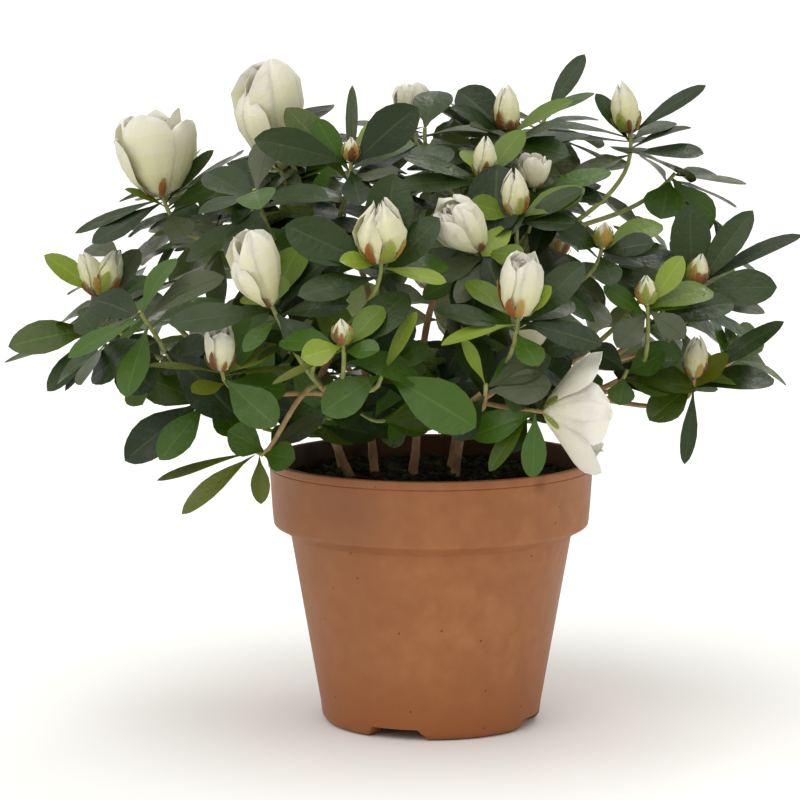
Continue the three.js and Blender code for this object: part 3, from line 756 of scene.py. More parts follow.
boughForm = {
    "lowClimb": 15,
    "midClimb": 47,
    "topClimb": 76,
    "lowSpread": 22.5,
    "lowStarts": (0.52, 0.76),
    "leavingClimb": 35,
    "entry": 52,
    "startRadius": 1.35,
    "endRadius": 1.15,
    "sides": 12,
    "spacing": 1.6,
    "roughness": 0.16,
}

twigForm = {
    "sideRadius": 1.1,
    "tipRadius": 0.75,
    "firstFork": 0.1,
    "lastFork": 0.62,
    "sides": 7,
    "spacing": 4.0,
    "roughness": 0.1,
    "tanBelow": 135,
    "tanRadius": 0.9,
}

# What each front tip carries, where it is, how high its blossom stands, how far it leans right in degrees,
# and then its leaves that show plainly: how far right, back and up of the tip each ends, its breadth,
# how far its face turns from upwards (0) to the viewer (1, or below 0 for its underside), and its tone.
frontTips = [
    ("cup", -98, -20, 199, 31, -9, [
        (-32, 2, -14, 9, 0.3, "dark"), (-25, -6, -17, 10, 0.45, "dark"), (18, 0, 16, 8, 0.35, "dark"),
        (-13, -8, 3, 4, 0.5, "fresh"), (22, -8, 5, 10, 0.5, "dark"), (8, -14, -14, 12, 0.6, "dark")]),
    ("tall", -55, -25, 209, 40, -11, [
        (-21, -6, -13, 12, 0.45, "dark"), (-16, -10, -20, 11, 0.5, "dark"), (-24, 6, -4, 9, 0.3, "dark"),
        (-12, 8, -20, 9, -0.3, "olive"), (22, 4, -6, 11, 0.4, "dark")]),
    ("pair", -121, -15, 162, 18, -6, [
        (-20, -4, 15, 9, 0.6, "young"), (13, 5, 16, 10, 0.5, "dark"), (-2, -20, -9, 16, 0.75, "dark"),
        (24, -4, -4, 13, 0.6, "dark"), (16, 8, 6, 9, 0.4, "mid")]),
    ("tall", -56, -95, 167, 29, -22, [
        (-1, -4, 12, 14, 0.95, "fresh"), (-35, -2, -6, 12, 0.55, "dark"), (15, -6, -17, 12, 0.65, "dark"),
        (26, -2, 0, 10, 0.5, "dark"), (-10, -4, -15, 7, 0.5, "mid")]),
    ("folded", -18, -105, 183, 23, -2, [
        (-14, -6, 1, 8, 0.5, "young"), (22, -4, -6, 8, 0.4, "young"), (-32, 2, 13, 16, 0.75, "dark"),
        (5, 8, 29, 17, 0.85, "dark"), (-28, -4, -11, 12, 0.5, "dark"), (20, 4, 14, 12, 0.6, "dark")]),
    ("slim", -74, -85, 143, 17, -3, [
        (-27, -2, 2, 6, 0.2, "olive"), (27, -2, 1, 6, 0.2, "olive"), (18, -8, -19, 15, 0.7, "mid"),
        (22, 4, -8, 12, 0.6, "mid"), (-10, -10, -6, 8, 0.5, "olive")]),
    ("crumpled", 17, -87, 186, 21, -42, [
        (5, -6, -13, 9, 0.5, "dark"), (14, -8, -2, 10, 0.5, "fresh"), (-16, -4, -10, 10, 0.5, "dark"),
        (-8, -10, -18, 9, 0.6, "dark")]),
    ("bud", 29, -78, 197, 17, -4, [
        (-16, -4, 4, 10, 0.6, "fresh"), (-12, -10, -13, 9, 0.6, "young"), (20, -4, -3, 11, 0.4, "dark"),
        (23, 2, 8, 10, 0.4, "dark")]),
    ("bud", 27, -42, 224, 17, -3, [
        (-17, 6, 14, 15, 0.8, "dark"), (-20, -4, 9, 9, 0.35, "dark"), (-14, -12, 3, 9, 0.3, "dark"),
        (21, -8, -8, 12, 0.5, "dark"), (18, -6, 3, 9, 0.3, "dark")]),
    ("bud", 18, -66, 209, 15, 2, [
        (-28, -4, 8, 10, 0.35, "dark"), (-30, -10, -2, 10, 0.45, "dark"), (-8, -12, -13, 9, 0.6, "dark"),
        (12, -6, -8, 9, 0.5, "dark")]),
    ("cup", 36, -58, 205, 12, 0, [
        (16, -8, -4, 12, 0.5, "dark"), (24, 2, -4, 11, 0.4, "dark"), (-8, -10, -8, 8, 0.5, "fresh")]),
    ("bud", 72, -20, 222, 19, -12, [
        (27, 2, 17, 8, 0.4, "dark"), (-32, 4, 3, 8, 0.2, "dark"), (-29, -4, -1, 7, 0.2, "dark"),
        (-11, 6, 14, 7, 0.5, "dark"), (-2, -22, -6, 14, 0.3, "dark"), (26, -8, -7, 13, 0.3, "dark")]),
    ("slim", 29, -110, 165, 23, 3, [
        (11, -4, 10, 7, 0.6, "young"), (28, -2, -10, 12, 0.5, "dark"), (-26, -4, -9, 8, 0.3, "young"),
        (-28, 2, 1, 10, 0.4, "dark"), (22, 6, 17, 12, 0.65, "dark"), (6, -10, -16, 10, 0.6, "mid")]),
    ("open", 38, -104, 131, 19.5, 92, [
        (-10, 6, 17, 11, 0.6, "dark"), (-24, 6, -10, 12, 0.6, "mid"), (-3, 2, -23, 9, 0.6, "mid"),
        (-18, 4, -21, 8, 0.4, "moss"), (-12, 8, -15, 10, 0.6, "dark"), (-14, -2, 6, 10, 0.5, "mid")]),
    ("cup", 33, -76, 149, 16, 5, [(18, 0, 2, 11, 0.5, "dark"), (-14, -6, -10, 11, 0.6, "mid")]),
    ("point", 95, -38, 168, 12, 10, [
        (38, 4, 17, 9, 0.35, "dark"), (28, -7, 0, 14, 0.75, "dark"), (20, 4, 26, 11, 0.6, "dark"),
        (-2, 6, 28, 15, 0.85, "dark"), (-29, 2, 3, 13, 0.7, "dark")]),
    ("point", 76, -66, 164, 11, -4, [
        (13, 4, 16, 9, 0.8, "young"), (13, -4, -11, 10, 0.6, "dark"), (-11, -6, -14, 11, 0.6, "dark"),
        (-15, 0, 7, 9, 0.5, "mid")]),
    ("bud", 95, -42, 135, 16, 2, [
        (32, 2, 19, 9, 0.45, "dark"), (-16, -6, -15, 13, 0.6, "moss"), (-2, 0, -31, 6, 0.6, "dark"),
        (-29, -4, 1, 12, 0.6, "dark"), (11, -4, 9, 9, 0.5, "olive"), (-20, 4, 7, 10, 0.6, "mid")]),
    ("crumpled", -7, 25, 223, 15, -4, []),
    ("point", -31, -116, 156, 10, -4, [
        (-14, -4, -4, 10, 0.7, "young"), (-24, -2, -13, 5, 0.3, "olive"), (12, -4, -2, 9, 0.5, "mid")]),
    ("point", -29, -55, 214, 9, 0, [
        (-33, -8, 8, 14, 0.7, "dark"), (22, -4, 20, 16, 0.75, "dark"), (4, -14, -14, 11, 0.6, "dark"),
        (-13, 2, 14, 9, 0.7, "mid"), (1, 6, 26, 4.5, 0.4, "dark"), (16, -12, -4, 9, 0.4, "dark"),
        (-22, 10, 18, 14, 0.5, "moss")]),
    ("point", 60, -62, 184, 10, 6, [
        (-16, -4, 8, 11, 0.5, "dark"), (18, -4, 2, 11, 0.5, "dark"), (4, -12, -12, 10, 0.6, "dark")]),
    ("leaf", -124, 0, 148, 0, -52, [
        (-32, -6, -5, 14, 0.6, "moss"), (-35, 8, -13, 8, 0.25, "dark"), (-19, -4, -22, 10, 0.5, "dark"),
        (-12, -2, -23, 6, 0.3, "dark"), (23, -8, -12, 16, 0.7, "dark")]),
    ("leaf", -82, -62, 130, 0, -40, [
        (-28, 0, -21, 15, 0.65, "dark"), (-14, -8, -21, 12, 0.65, "mid"), (14, -6, -12, 12, 0.6, "mid")]),
    ("leaf", -64, -66, 112, 0, -30, [
        (-34, 5, -12, 7, 0.3, "olive"), (-25, -4, -21, 8, 0.5, "olive"), (3, -6, -18, 7, 0.5, "olive"),
        (15, -8, -2, 12, 0.7, "mid"), (-8, -8, 8, 13, 0.7, "mid"), (25, 2, 11, 9, 0.5, "dark"),
        (13, 8, 7, 8, 0.5, "moss")]),
    ("leaf", 70, -52, 139, 0, 20, [
        (-13, -2, 8, 11, 0.6, "deep"), (13, -4, 6, 12, 0.6, "mid"), (-3, -4, -12, 10, 0.6, "mid"),
        (16, -2, -8, 9, 0.5, "moss")]),
    ("leaf", 108, 4, 178, 0, 48, []),
    ("leaf", 42, 4, 226, 0, 14, [(14, 6, 23, 8, 0.5, "dark"), (-24, 0, 4, 9, 0.3, "dark")]),
    ("leaf", 90, -4, 206, 0, 40, [
        (26, 0, -4, 7, 0.25, "dark"), (12, -4, -21, 16, 0.8, "mid"), (-5, -8, -16, 16, 0.8, "mid")]),
    ("leaf", -18, -106, 146, 0, -4, [
        (32, -4, -19, 18, 0.75, "mid"), (-20, -2, -14, 14, 0.7, "mid"), (12, -4, 20, 7, 0.4, "young")]),
    ("leaf", 18, -106, 141, 0, 0, [
        (-8, -4, 16, 6, 0.4, "young"), (22, 2, 9, 12, 0.5, "dark"), (22, -4, 0, 13, 0.7, "dark"),
        (-10, 4, -20, 11, 0.6, "dark")]),
]


class Bend:  # a limb's middle line, leaving and arriving in given directions
    samples = 200
    pull = 0.36
    nudge = 0.0001

    def __init__(self, start, startAim, end, endAim):
        reach = np.linalg.norm(start - end) * self.pull
        self.corners = np.array([start, start + startAim * reach, end - endAim * reach, end])
        self.shares = np.linspace(0, 1, self.samples + 1)
        steps = np.diff(self.raw(self.shares), axis=0)
        self.lengths = np.concatenate([[0], np.cumsum(np.linalg.norm(steps, axis=1))])
        self.length = self.lengths[-1]

    def raw(self, t):
        t = np.asarray(t, float)[..., None]
        a, b, c, d = self.corners
        return (1 - t) ** 3 * a + 3 * (1 - t) ** 2 * t * b + 3 * (1 - t) * t**2 * c + t**3 * d

    def at(self, share):
        return self.raw(np.interp(np.asarray(share) * self.length, self.lengths, self.shares))

    def aim(self, share):
        middle = np.interp(share * self.length, self.lengths, self.shares)
        before, after = max(0.0, middle - self.nudge), min(1.0, middle + self.nudge)
        return unit(self.raw(after) - self.raw(before))


def stemRadius(share):
    flare = np.maximum(0, 1 - share / stemForm["flareHeight"])
    return mix(stemForm["footRadius"], stemForm["tipRadius"], share) + stemForm["flare"] * flare**2


def boughRadius(share):
    return mix(boughForm["startRadius"], boughForm["endRadius"], share)


def planStems():
    stems = []
    for ring in ("outer", "inner"):
        count = stemForm[ring]
        across, deep = stemForm[ring + "Ring"]
        rise, lean = stemForm[ring + "Rise"], stemForm[ring + "Lean"]
        for index in range(count):
            turn = stemForm[ring + "Turn"] * degree + index * 2 * math.pi / count
            outward = aimed(turn, 0)
            middle = np.array([*stemForm["centre"], stemForm["foot"]])
            foot = middle + outward * np.array([across, deep, 0])
            tip = foot + outward * lean + up * rise
            tipAim = unit(outward * (lean / rise) + up)
            chance = dice(seeds["stems"] + len(stems))
            foot = foot + np.array([chance() - 0.5, chance() - 0.5, 0]) * stemForm["footWander"]
            curve = Bend(foot - up * stemForm["footSink"], unit(tip - foot), tip, tipAim)
            stems.append({"turn": turn, "ring": ring, "tipAim": tipAim, "curve": curve})
    return stems


def planBoughs(stems):
    boughs = []

    def add(ring, turn, climb, start, startAim):
        aim = aimed(turn, climb * degree)
        end = heart + aim * boughForm["entry"]
        boughs.append({"ring": ring, "aim": aim, "end": end, "curve": Bend(start, startAim, end, aim)})

    for stem in stems:
        tip = stem["curve"].at(1.0)
        if stem["ring"] == "inner":
            add("top", stem["turn"], boughForm["topClimb"], tip, stem["tipAim"])
            continue
        for side, share in zip((-1, 1), boughForm["lowStarts"]):
            turn = stem["turn"] + side * boughForm["lowSpread"] * degree
            startAim = aimed(turn, boughForm["leavingClimb"] * degree)
            add("low", turn, boughForm["lowClimb"], stem["curve"].at(share), startAim)
        add("mid", stem["turn"], boughForm["midClimb"], tip, stem["tipAim"])
    return boughs


def domeReach(climb):
    flat = abs(math.cos(climb)) / dome["side"]
    high = abs(math.sin(climb)) / dome["top"]
    return (flat ** dome["fullness"] + high ** dome["fullness"]) ** (-1 / dome["fullness"])


def planShoots():  # those named at the front first, then the rule's own all round
    shoots = []

    def add(kind, at, height, outward, axis, shown=()):
        shoots.append({
            "kind": kind,
            "at": at,
            "height": height,
            "outward": outward,
            "axis": unit(axis),
            "shown": shown,
            "seed": seeds["shoots"] + len(shoots) * seeds["shootStep"],
        })

    for kind, *place, height, lean, shown in frontTips:
        at = np.array(place, float)
        outward = unit(at - heart)
        turn = lean * degree
        axis = np.array([math.sin(turn), outward[1] * namedFront["lean"], math.cos(turn)])
        add(kind, at, height, outward, axis, shown)
    lowest = math.sin(dome["lowestClimb"] * degree)
    for index in range(tipRule["count"]):
        chance = dice(seeds["tips"] + index)
        climb = math.asin(mix(lowest, 1, (index + 0.5) / tipRule["count"]))
        turn = index * goldenTurn + tipRule["wander"] * (chance() - 0.5)
        reach = domeReach(climb) * (1 + dome["unevenness"] * (chance() - 0.5))
        outward = aimed(turn, climb)
        at = heart + outward * reach
        if min(np.linalg.norm(shoot["at"] - at) for shoot in shoots) < tipRule["spacing"]:
            continue
        if at[1] < namedFront["back"] and at[2] < namedFront["height"]:
            continue
        hidden = at[1] > hiddenBlossoms["back"] and at[2] < hiddenBlossoms["height"]
        kinds = hiddenBlossoms["kinds"]
        kind = kinds[index % len(kinds)] if hidden else "leaf"
        upright = tipRule["leafyUp"] if kind == "leaf" else tipRule["blossomUp"]
        height = hiddenBlossoms["heights"][kind] * mix(*hiddenBlossoms["heightRange"], chance())
        add(kind, at, height, outward, outward * tipRule["outward"] + up * upright)
    return shoots


def shareOut(shoots, boughs):  # each shoot goes to the bough that points most nearly at it
    shares = [[] for _ in boughs]
    for shoot in shoots:
        outward = unit(shoot["at"] - heart)
        match = [float(bough["aim"] @ outward) for bough in boughs]
        shares[match.index(max(match))].append(shoot)
    for bough, share in zip(boughs, shares):
        share.sort(key=lambda shoot: -float(unit(shoot["at"] - heart) @ bough["aim"]))
    return shares


def planTwigs(bough, shoots):  # the bough runs on to its first shoot, and side twigs leave it for the others
    lead = Bend(bough["end"], bough["aim"], shoots[0]["at"], shoots[0]["axis"])
    twigs = [{"shoot": shoots[0], "curve": lead, "radius": boughForm["endRadius"]}]
    for index, shoot in enumerate(shoots[1:], start=1):
        share = mix(twigForm["firstFork"], twigForm["lastFork"], (index - 0.5) / len(shoots))
        fork = lead.at(share)
        aim = unit(lead.aim(share) + unit(shoot["at"] - fork))
        curve = Bend(fork, aim, shoot["at"], shoot["axis"])
        twigs.append({"shoot": shoot, "curve": curve, "radius": twigForm["sideRadius"]})
    return twigs


stems = planStems()
boughs = planBoughs(stems)
shoots = planShoots()
masses = [planTwigs(bough, share) for bough, share in zip(boughs, shareOut(shoots, boughs))]
print("plant planned:", len(shoots), "shoots on", len(boughs), "boughs")


# Wood
barkForm = {"start": 0.3, "lumpsRound": 1.7, "lumpLength": 5, "fewestSteps": 3, "smoothAngle": 80}
barkLook = {
    "roughness": 0.75,
    "specular": 0.5,
    "patches": {"Size": 0.005, "Contrast": 2.4},
    "grain": {"Size": 0.00125, "Roughness": 0.7},
    "grainDepth": 0.0003,
}
twigLook = {
    **barkLook,
    "patches": {"Size": 0.004, "Contrast": 2.4},
    "grain": {"Size": 0.001, "Roughness": 0.7},
}
barkTones = ((146, 107, 75), (194, 152, 112))
twigTones = {
    "tanTwig": ((140, 112, 72), (176, 148, 98)),
    "greenTwig": ((112, 120, 58), (148, 152, 84)),
}


def tube(curve, radiusAt, form, seed):
    sides = form["sides"]
    steps = max(barkForm["fewestSteps"], int(math.ceil(curve.length / form["spacing"])))
    shares = np.linspace(0, 1, steps + 1)
    middles = curve.at(shares)
    across = unit(np.cross(curve.aim(0.0), right + barkForm["start"] * back))
    turns = np.arange(sides) * 2 * math.pi / sides
    lumps = barkForm["lumpsRound"]
    rings = []
    for share, middle in zip(shares, middles):
        aim = curve.aim(share)
        across = square(across, aim)
        ring = np.cos(turns)[:, None] * across + np.sin(turns)[:, None] * np.cross(aim, across)
        along = share * curve.length / barkForm["lumpLength"]
        bumps = np.array([
            noise.noise(Vector((math.cos(turn) * lumps + seed, math.sin(turn) * lumps, along)))
            for turn in turns
        ])
        rings.append(middle + ring * (float(radiusAt(share)) * (1 + form["roughness"] * bumps))[:, None])
    points = np.concatenate([[middles[0]], *rings, [middles[-1]]])
    faces = []
    last = len(points) - 1
    for side in range(sides):
        beside = (side + 1) % sides
        faces.append([0, 1 + beside, 1 + side])
        for step in range(steps):
            low, high = 1 + step * sides, 1 + (step + 1) * sides
            faces.append([low + side, low + beside, high + beside, high + side])
        faces.append([last, last - sides + side, last - sides + beside])
    return points, faces


def makeLimbs():
    heap = Heap()
    kinds = ((stems, stemForm, stemRadius, 0), (boughs, boughForm, boughRadius, seeds["boughBark"]))
    for limbs, form, radiusAt, firstSeed in kinds:
        for number, limb in enumerate(limbs):
            heap.add(*tube(limb["curve"], radiusAt, form, firstSeed + number * seeds["barkStep"]), 0)
    material = twoTone("tanBark", barkTones, barkLook)
    finishPiece(heap.make("barkLimbs", [material], barkForm["smoothAngle"]), "bark", *limbNodes)


makeLimbs()

# Leaves
leafForm = {
    "shortest": 25.0,
    "longest": 36.0,
    "leanest": 0.41,
    "broadest": 0.63,
    "whorl": 7,
    "below": 2,
    "scale": 1.0,
    "firstStep": 0.8,
    "whorlStep": 1.2,
    "belowStep": 8.0,
    "lowestShare": 0.2,
    "steep": 0.9,
    "youngest": 0.72,
    "turnWander": 0.5,
    "tightTilt": 48,
    "blossomTilt": 62,
    "flatTilt": 92,
    "tiltWander": 20,
    "facing": {"axis": 0.4, "up": 0.4, "outward": 0.6},
    "fold": 0.07,
    "foldRange": (0.3, 1.7),
    "droop": 0.2,
    "curl": (0.2, 1.6),
    "shownCurl": (0.1, 0.9),
    "wave": 0.1,
    "swing": 0.1,
    "sag": 0.12,
    "behind": 0.15,
    "tries": 5,
    "turnPerTry": 0.7,
    "tiltPerTry": 5,
    "blossomGap": 0.4,
    "potGap": 1.5,
    "smoothAngle": 60,
}

# The blade's rows along it and its columns across it, as shares, and the small forms of its surface
bladeForm = {
    "rows": np.array([0.05, 0.18, 0.34, 0.5, 0.65, 0.78, 0.88, 0.95, 0.99]),
    "columns": np.array([-1, -0.05, 0.05, 1]),
    "ribColumn": 1,
    "samples": [3, 20, 23, 37, 46],  # the corners that have to stand clear of blossoms
    "widest": 1.6,
    "footSlimness": 1.1,
    "tipRoundness": 0.65,
    "stalk": 0.06,
    "thickness": 0.45,
    "bulge": 0.05,
    "groove": 0.2,
    "grooveColumn": 0.1,
    "grooveHalf": 3,
    "waves": 7,
    "wavePhase": 3,
    "footSink": 0.6,
    "tipReach": 1.02,
    "tipDroop": 1.04,
}


def sheetFaces(rows, columns, unders):  # faces of a thin closed sheet: foot, rows of both sides, tip
    width = columns + unders
    foot, tip = 0, 1 + rows * width
    topFaces, underFaces = [], []

    def top(row, column):
        return 1 + row * width + column

    def under(row, column):
        if column == 0:
            return top(row, 0)
        if column == unders + 1:
            return top(row, columns - 1)
        return 1 + row * width + columns + column - 1

    for row in range(rows - 1):
        above = row + 1
        for column in range(columns - 1):
            beside = column + 1
            topFaces.append([top(row, column), top(row, beside), top(above, beside), top(above, column)])
        for column in range(unders + 1):
            beside = column + 1
            underFaces.append(
                [under(row, column), under(above, column), under(above, beside), under(row, beside)]
            )
    for column in range(columns - 1):
        topFaces.append([foot, top(0, column + 1), top(0, column)])
        topFaces.append([tip, top(rows - 1, column), top(rows - 1, column + 1)])
    for column in range(unders + 1):
        underFaces.append([foot, under(0, column), under(0, column + 1)])
        underFaces.append([tip, under(rows - 1, column + 1), under(rows - 1, column)])
    return topFaces, underFaces


bladeTop, bladeUnder = sheetFaces(len(bladeForm["rows"]), len(bladeForm["columns"]), 1)


def bladeHalf(along):  # half breadth along an obovate blade: a narrow foot and a round tip
    form = bladeForm
    bluntness = form["footSlimness"] - form["tipRoundness"] * along
    return np.maximum(np.sin(math.pi * along ** form["widest"]) ** bluntness, form["stalk"])


def bladePoints(leaf):
    form = bladeForm
    size, aim, face = leaf["size"], leaf["aim"], leaf["face"]
    side = np.cross(aim, face)
    rows = form["rows"][:, None]
    columns = form["columns"][None, :]
    halves = bladeHalf(rows) * leaf["breadth"] / 2
    groove = form["groove"] * (np.abs(columns) < form["grooveColumn"])
    bulge = form["bulge"] * (1 - columns**2) * halves - groove * np.minimum(1, halves / form["grooveHalf"])
    fold = 2 * leaf["fold"] * np.abs(columns) * halves
    ripple = np.sin(form["waves"] * rows + form["wavePhase"] * leaf["phase"] + columns)
    wave = leaf["wave"] * halves * columns**2 * ripple
    droop = leaf["curl"] * size * rows**2
    swing = leaf["swing"] * size * rows**2

    def surface(across, lift):
        along = leaf["foot"] + aim * (size * rows)[..., None]
        return along + side * across[..., None] + face * lift[..., None]

    tops = surface(halves * columns + swing, fold + bulge + wave - droop)
    unders = surface(swing, -droop - form["thickness"])
    body = np.concatenate([tops, unders], axis=1).reshape(-1, 3)
    foot = leaf["foot"] - aim * form["footSink"]
    tip = leaf["foot"] + aim * size * form["tipReach"] + side * leaf["swing"] * size
    tip = tip - face * leaf["curl"] * size * form["tipDroop"]
    return np.concatenate([[foot], body, [tip]])


def leafShape(foot, aim, face, size, breadth, curl, chance):  # with a small fold, wave and swing of its own
    return {
        "foot": foot,
        "aim": aim,
        "face": square(face, aim),
        "size": size,
        "breadth": breadth,
        "curl": curl,
        "fold": leafForm["fold"] * mix(*leafForm["foldRange"], chance()),
        "wave": leafForm["wave"] * chance(),
        "swing": leafForm["swing"] * (chance() - 0.5),
        "phase": chance(),
    }


def planLeaf(spray, index, attempt):  # the rule's own leaf, turned and raised a little at each attempt
    form = leafForm
    curve, shoot, whorl = spray["curve"], spray["shoot"], spray["whorl"]
    chance = dice(shoot["seed"] + index * seeds["leafStep"])
    low = index >= whorl
    if low:
        below = whorl * form["whorlStep"] + (index - whorl + 1) * form["belowStep"]
    else:
        below = form["firstStep"] + index * form["whorlStep"]
    share = max(form["lowestShare"], 1 - below / curve.length)
    foot, axis = curve.at(share), curve.aim(share)
    side = unit(np.cross(axis, right if abs(axis[2]) > form["steep"] else up))
    wander = form["turnWander"] * (chance() - 0.5)
    turn = shoot["seed"] + index * goldenTurn + wander + attempt * form["turnPerTry"]
    opened = 1.0 if low else (index + 1) / whorl
    tightest = form["blossomTilt"] if shoot["height"] > 0 else form["tightTilt"]
    tilt = mix(tightest, form["flatTilt"], opened) + form["tiltWander"] * (chance() - 0.5)
    aim = leaned(axis, side, turn, (tilt - attempt * form["tiltPerTry"]) * degree)
    aim = unit(aim - up * form["sag"] * opened)
    facing = form["facing"]
    face = axis * facing["axis"] + up * facing["up"] + shoot["outward"] * facing["outward"]
    size = mix(form["shortest"], form["longest"], chance()) * mix(form["youngest"], 1, opened)
    size *= spray["scale"]
    breadth = size * mix(form["leanest"], form["broadest"], chance())
    curl = form["droop"] * mix(*form["curl"], chance())
    return leafShape(foot, aim, face, size, breadth, curl, chance)


def shownLeaf(spray, order, reach, breadth, facing):  # a leaf that ends at its own named place
    form = leafForm
    curve, shoot = spray["curve"], spray["shoot"]
    chance = dice(shoot["seed"] + seeds["shownLeaves"] + order)
    below = form["firstStep"] + order * form["whorlStep"]
    foot = curve.at(1 - below / curve.length)
    size = float(np.linalg.norm(shoot["at"] + reach - foot))
    aim = (shoot["at"] + reach - foot) / size
    curl = form["droop"] * mix(*form["shownCurl"], chance())
    face = square(up * (1 - abs(facing)) - back * facing, aim)
    return leafShape(foot, unit(aim + face * curl), face, size, breadth, curl, chance)


# The room that a blossom fills: its breadth to its height, and balls at these shares of its height
blossomRoom = {"bud": 0.7, "slim": 0.7, "point": 0.75, "pair": 1.1, "cup": 0.9, "folded": 0.9,
               "crumpled": 0.9, "tall": 0.62, "open": 2.2}
ballShares = (0.35, 0.65, 0.9)


def blossomBalls(shoot):
    if shoot["kind"] not in blossomRoom:
        return []
    radius = shoot["height"] * blossomRoom[shoot["kind"]] / 2
    return [(shoot["at"] + shoot["axis"] * shoot["height"] * share, radius) for share in ballShares]


balls = [ball for shoot in shoots for ball in blossomBalls(shoot)]
ballPlaces = np.array([place for place, _ in balls])
ballRadii = np.array([radius for _, radius in balls])


def skirtHeight(points):  # bare air over the pot, higher farther out
    reach = np.linalg.norm(points[:, :2] - heart[:2], axis=1)
    share = np.clip((reach - skirt["from"]) / (skirt["to"] - skirt["from"]), 0, 1)
    return skirt["height"] + skirt["lift"] * share


def leafFits(points):  # clear of blossoms, of the pot and of the air under the skirt
    spots = points[bladeForm["samples"]]
    apart = np.linalg.norm(spots[:, None] - ballPlaces[None], axis=2) - ballRadii
    if apart.min() < leafForm["blossomGap"]:
        return False
    reach = np.hypot(points[:, 0], points[:, 1])
    gap = leafForm["potGap"]
    overPot = (reach < potForm["lipRadius"] + gap) & (points[:, 2] < potForm["height"] + gap)
    return not overPot.any() and bool((points[:, 2] > skirtHeight(points)).all())


leafLook = {
    "specular": 0.33,
    "roughness": (0.24, 0.52),
    "patches": {"Size": 0.005, "Contrast": 2.6},
    "grain": {"Size": 0.002, "Roughness": 0.55},
    "grainDepth": 0.00028,
}
leafTones = {
    "deep": (27, 43, 10),
    "dark": (36, 54, 12),
    "slate": (66, 74, 48),
    "moss": (60, 78, 12),
    "mid": (56, 86, 14),
    "fresh": (84, 106, 24),
    "young": (120, 139, 44),
    "olive": (84, 92, 14),
    "rib": (50, 65, 26),
    "midRib": (70, 97, 26),
    "freshRib": (95, 118, 36),
    "youngRib": (132, 151, 60),
    "underside": (82, 96, 42),
    "youngUnderside": (122, 142, 60),
}
toneNumbers = {name: number for number, name in enumerate(leafTones)}
ribOf = {"young": "youngRib", "fresh": "freshRib", "mid": "midRib", "moss": "midRib", "olive": "midRib"}
paleTones = ("young", "fresh")
darkTones = ("deep", "dark", "dark", "slate")  # dealt out among the dark leaves
# How the rule's leaves are dealt out above each height: every tone takes the chances below its limit
toneShares = (
    (175, (("dark", 0.85), ("mid", 1))),
    (140, (("dark", 0.6), ("mid", 0.92), ("fresh", 1))),
    (0, (("dark", 0.3), ("mid", 0.65), ("moss", 0.85), ("fresh", 1))),
)
besideBlossom = (("young", 0.5), ("fresh", 1))
leavesBesideBlossom = 2


def bladeTones(tone):  # the top, its middle rib and the underside, face by face
    rib = toneNumbers[ribOf.get(tone, "rib")]
    under = toneNumbers["youngUnderside" if tone in paleTones else "underside"]
    across = len(bladeForm["columns"]) - 1
    tops = [toneNumbers[tone]] * len(bladeTop)
    for row in range(len(bladeForm["rows"]) - 2):
        tops[row * across + bladeForm["ribColumn"]] = rib
    return tops + [under] * len(bladeUnder)


def leafMaterial(name, colour):
    material, tree, shader = newMaterial(name, colour, specular=leafLook["specular"])
    patches = placed(tree, blotches, **leafLook["patches"])
    tree.links.new(ranged(tree, patches, *leafLook["roughness"]), shader.inputs["Roughness"])
    grainRelief(tree, shader, leafLook)
    return material


def varied(tone, chance):
    return darkTones[int(chance() * len(darkTones))] if tone == "dark" else tone


def topTone(shoot, index, chance):
    roll = chance()
    if shoot["height"] > 0 and index < leavesBesideBlossom:
        shares = besideBlossom
    else:
        shares = next(shares for height, shares in toneShares if shoot["at"][2] > height)
    return next(tone for tone, limit in shares if roll < limit)


# Leafy side twigs: finer ones inside the crown, and those of the low boughs over the pot
finerForm = {
    "shares": (0.3, 0.48, 0.66),
    "sideways": 0.2,
    "tilt": 46,
    "shortest": 17.0,
    "longest": 27.0,
    "rise": 0.15,
    "upturn": 0.7,
    "radius": 0.8,
    "whorl": 4,
    "below": 1,
    "scale": 0.86,
    "farthest": 80,
    "rightmost": 58,
    "lowest": 120,
    "deepest": 0.9,
}
innerForm = {
    "shares": (0.3, 0.5, 0.7, 0.9),
    "sideways": 0,
    "tilt": 52,
    "shortest": 12.0,
    "longest": 24.0,
    "rise": 0.1,
    "upturn": 0.5,
    "radius": 0.75,
    "whorl": 5,
    "below": 1,
    "scale": 0.9,
    "lowest": 111,
    "highest": 140,
    "forward": 20,
}


def leafTerms(form):
    return {term: form[term] for term in ("whorl", "below", "scale")}


def sideSpray(curve, share, turn, form, seed, chance):
    fork, axis = curve.at(share), curve.aim(share)
    side = unit(np.cross(axis, up + form["sideways"] * right))
    aim = leaned(axis, side, turn, form["tilt"] * degree)
    length = mix(form["shortest"], form["longest"], chance())
    end = fork + aim * length + up * form["rise"] * length
    twig = Bend(fork, aim, end, unit(aim + up * form["upturn"]))
    shoot = {"at": end, "height": 0, "outward": unit(end - heart), "shown": (), "seed": seed}
    return {"shoot": shoot, "curve": twig, "radius": form["radius"], **leafTerms(form)}


def finerSprays(twig):
    sprays = []
    for order, share in enumerate(finerForm["shares"]):
        seed = twig["shoot"]["seed"] + seeds["finer"] + order * seeds["finerStep"]
        chance = dice(seed)
        spray = sideSpray(twig["curve"], share, chance() * 2 * math.pi, finerForm, seed, chance)
        shoot = spray["shoot"]
        end = shoot["at"]
        wide = np.linalg.norm(end[:2] - heart[:2])
        if wide > finerForm["farthest"] or end[0] > finerForm["rightmost"] or end[2] < finerForm["lowest"]:
            continue
        deepest = finerForm["deepest"] * domeReach(math.asin(shoot["outward"][2]))
        if np.linalg.norm(end - heart) <= deepest:
            shoot["outward"] = twig["shoot"]["outward"]
            sprays.append(spray)
    return sprays


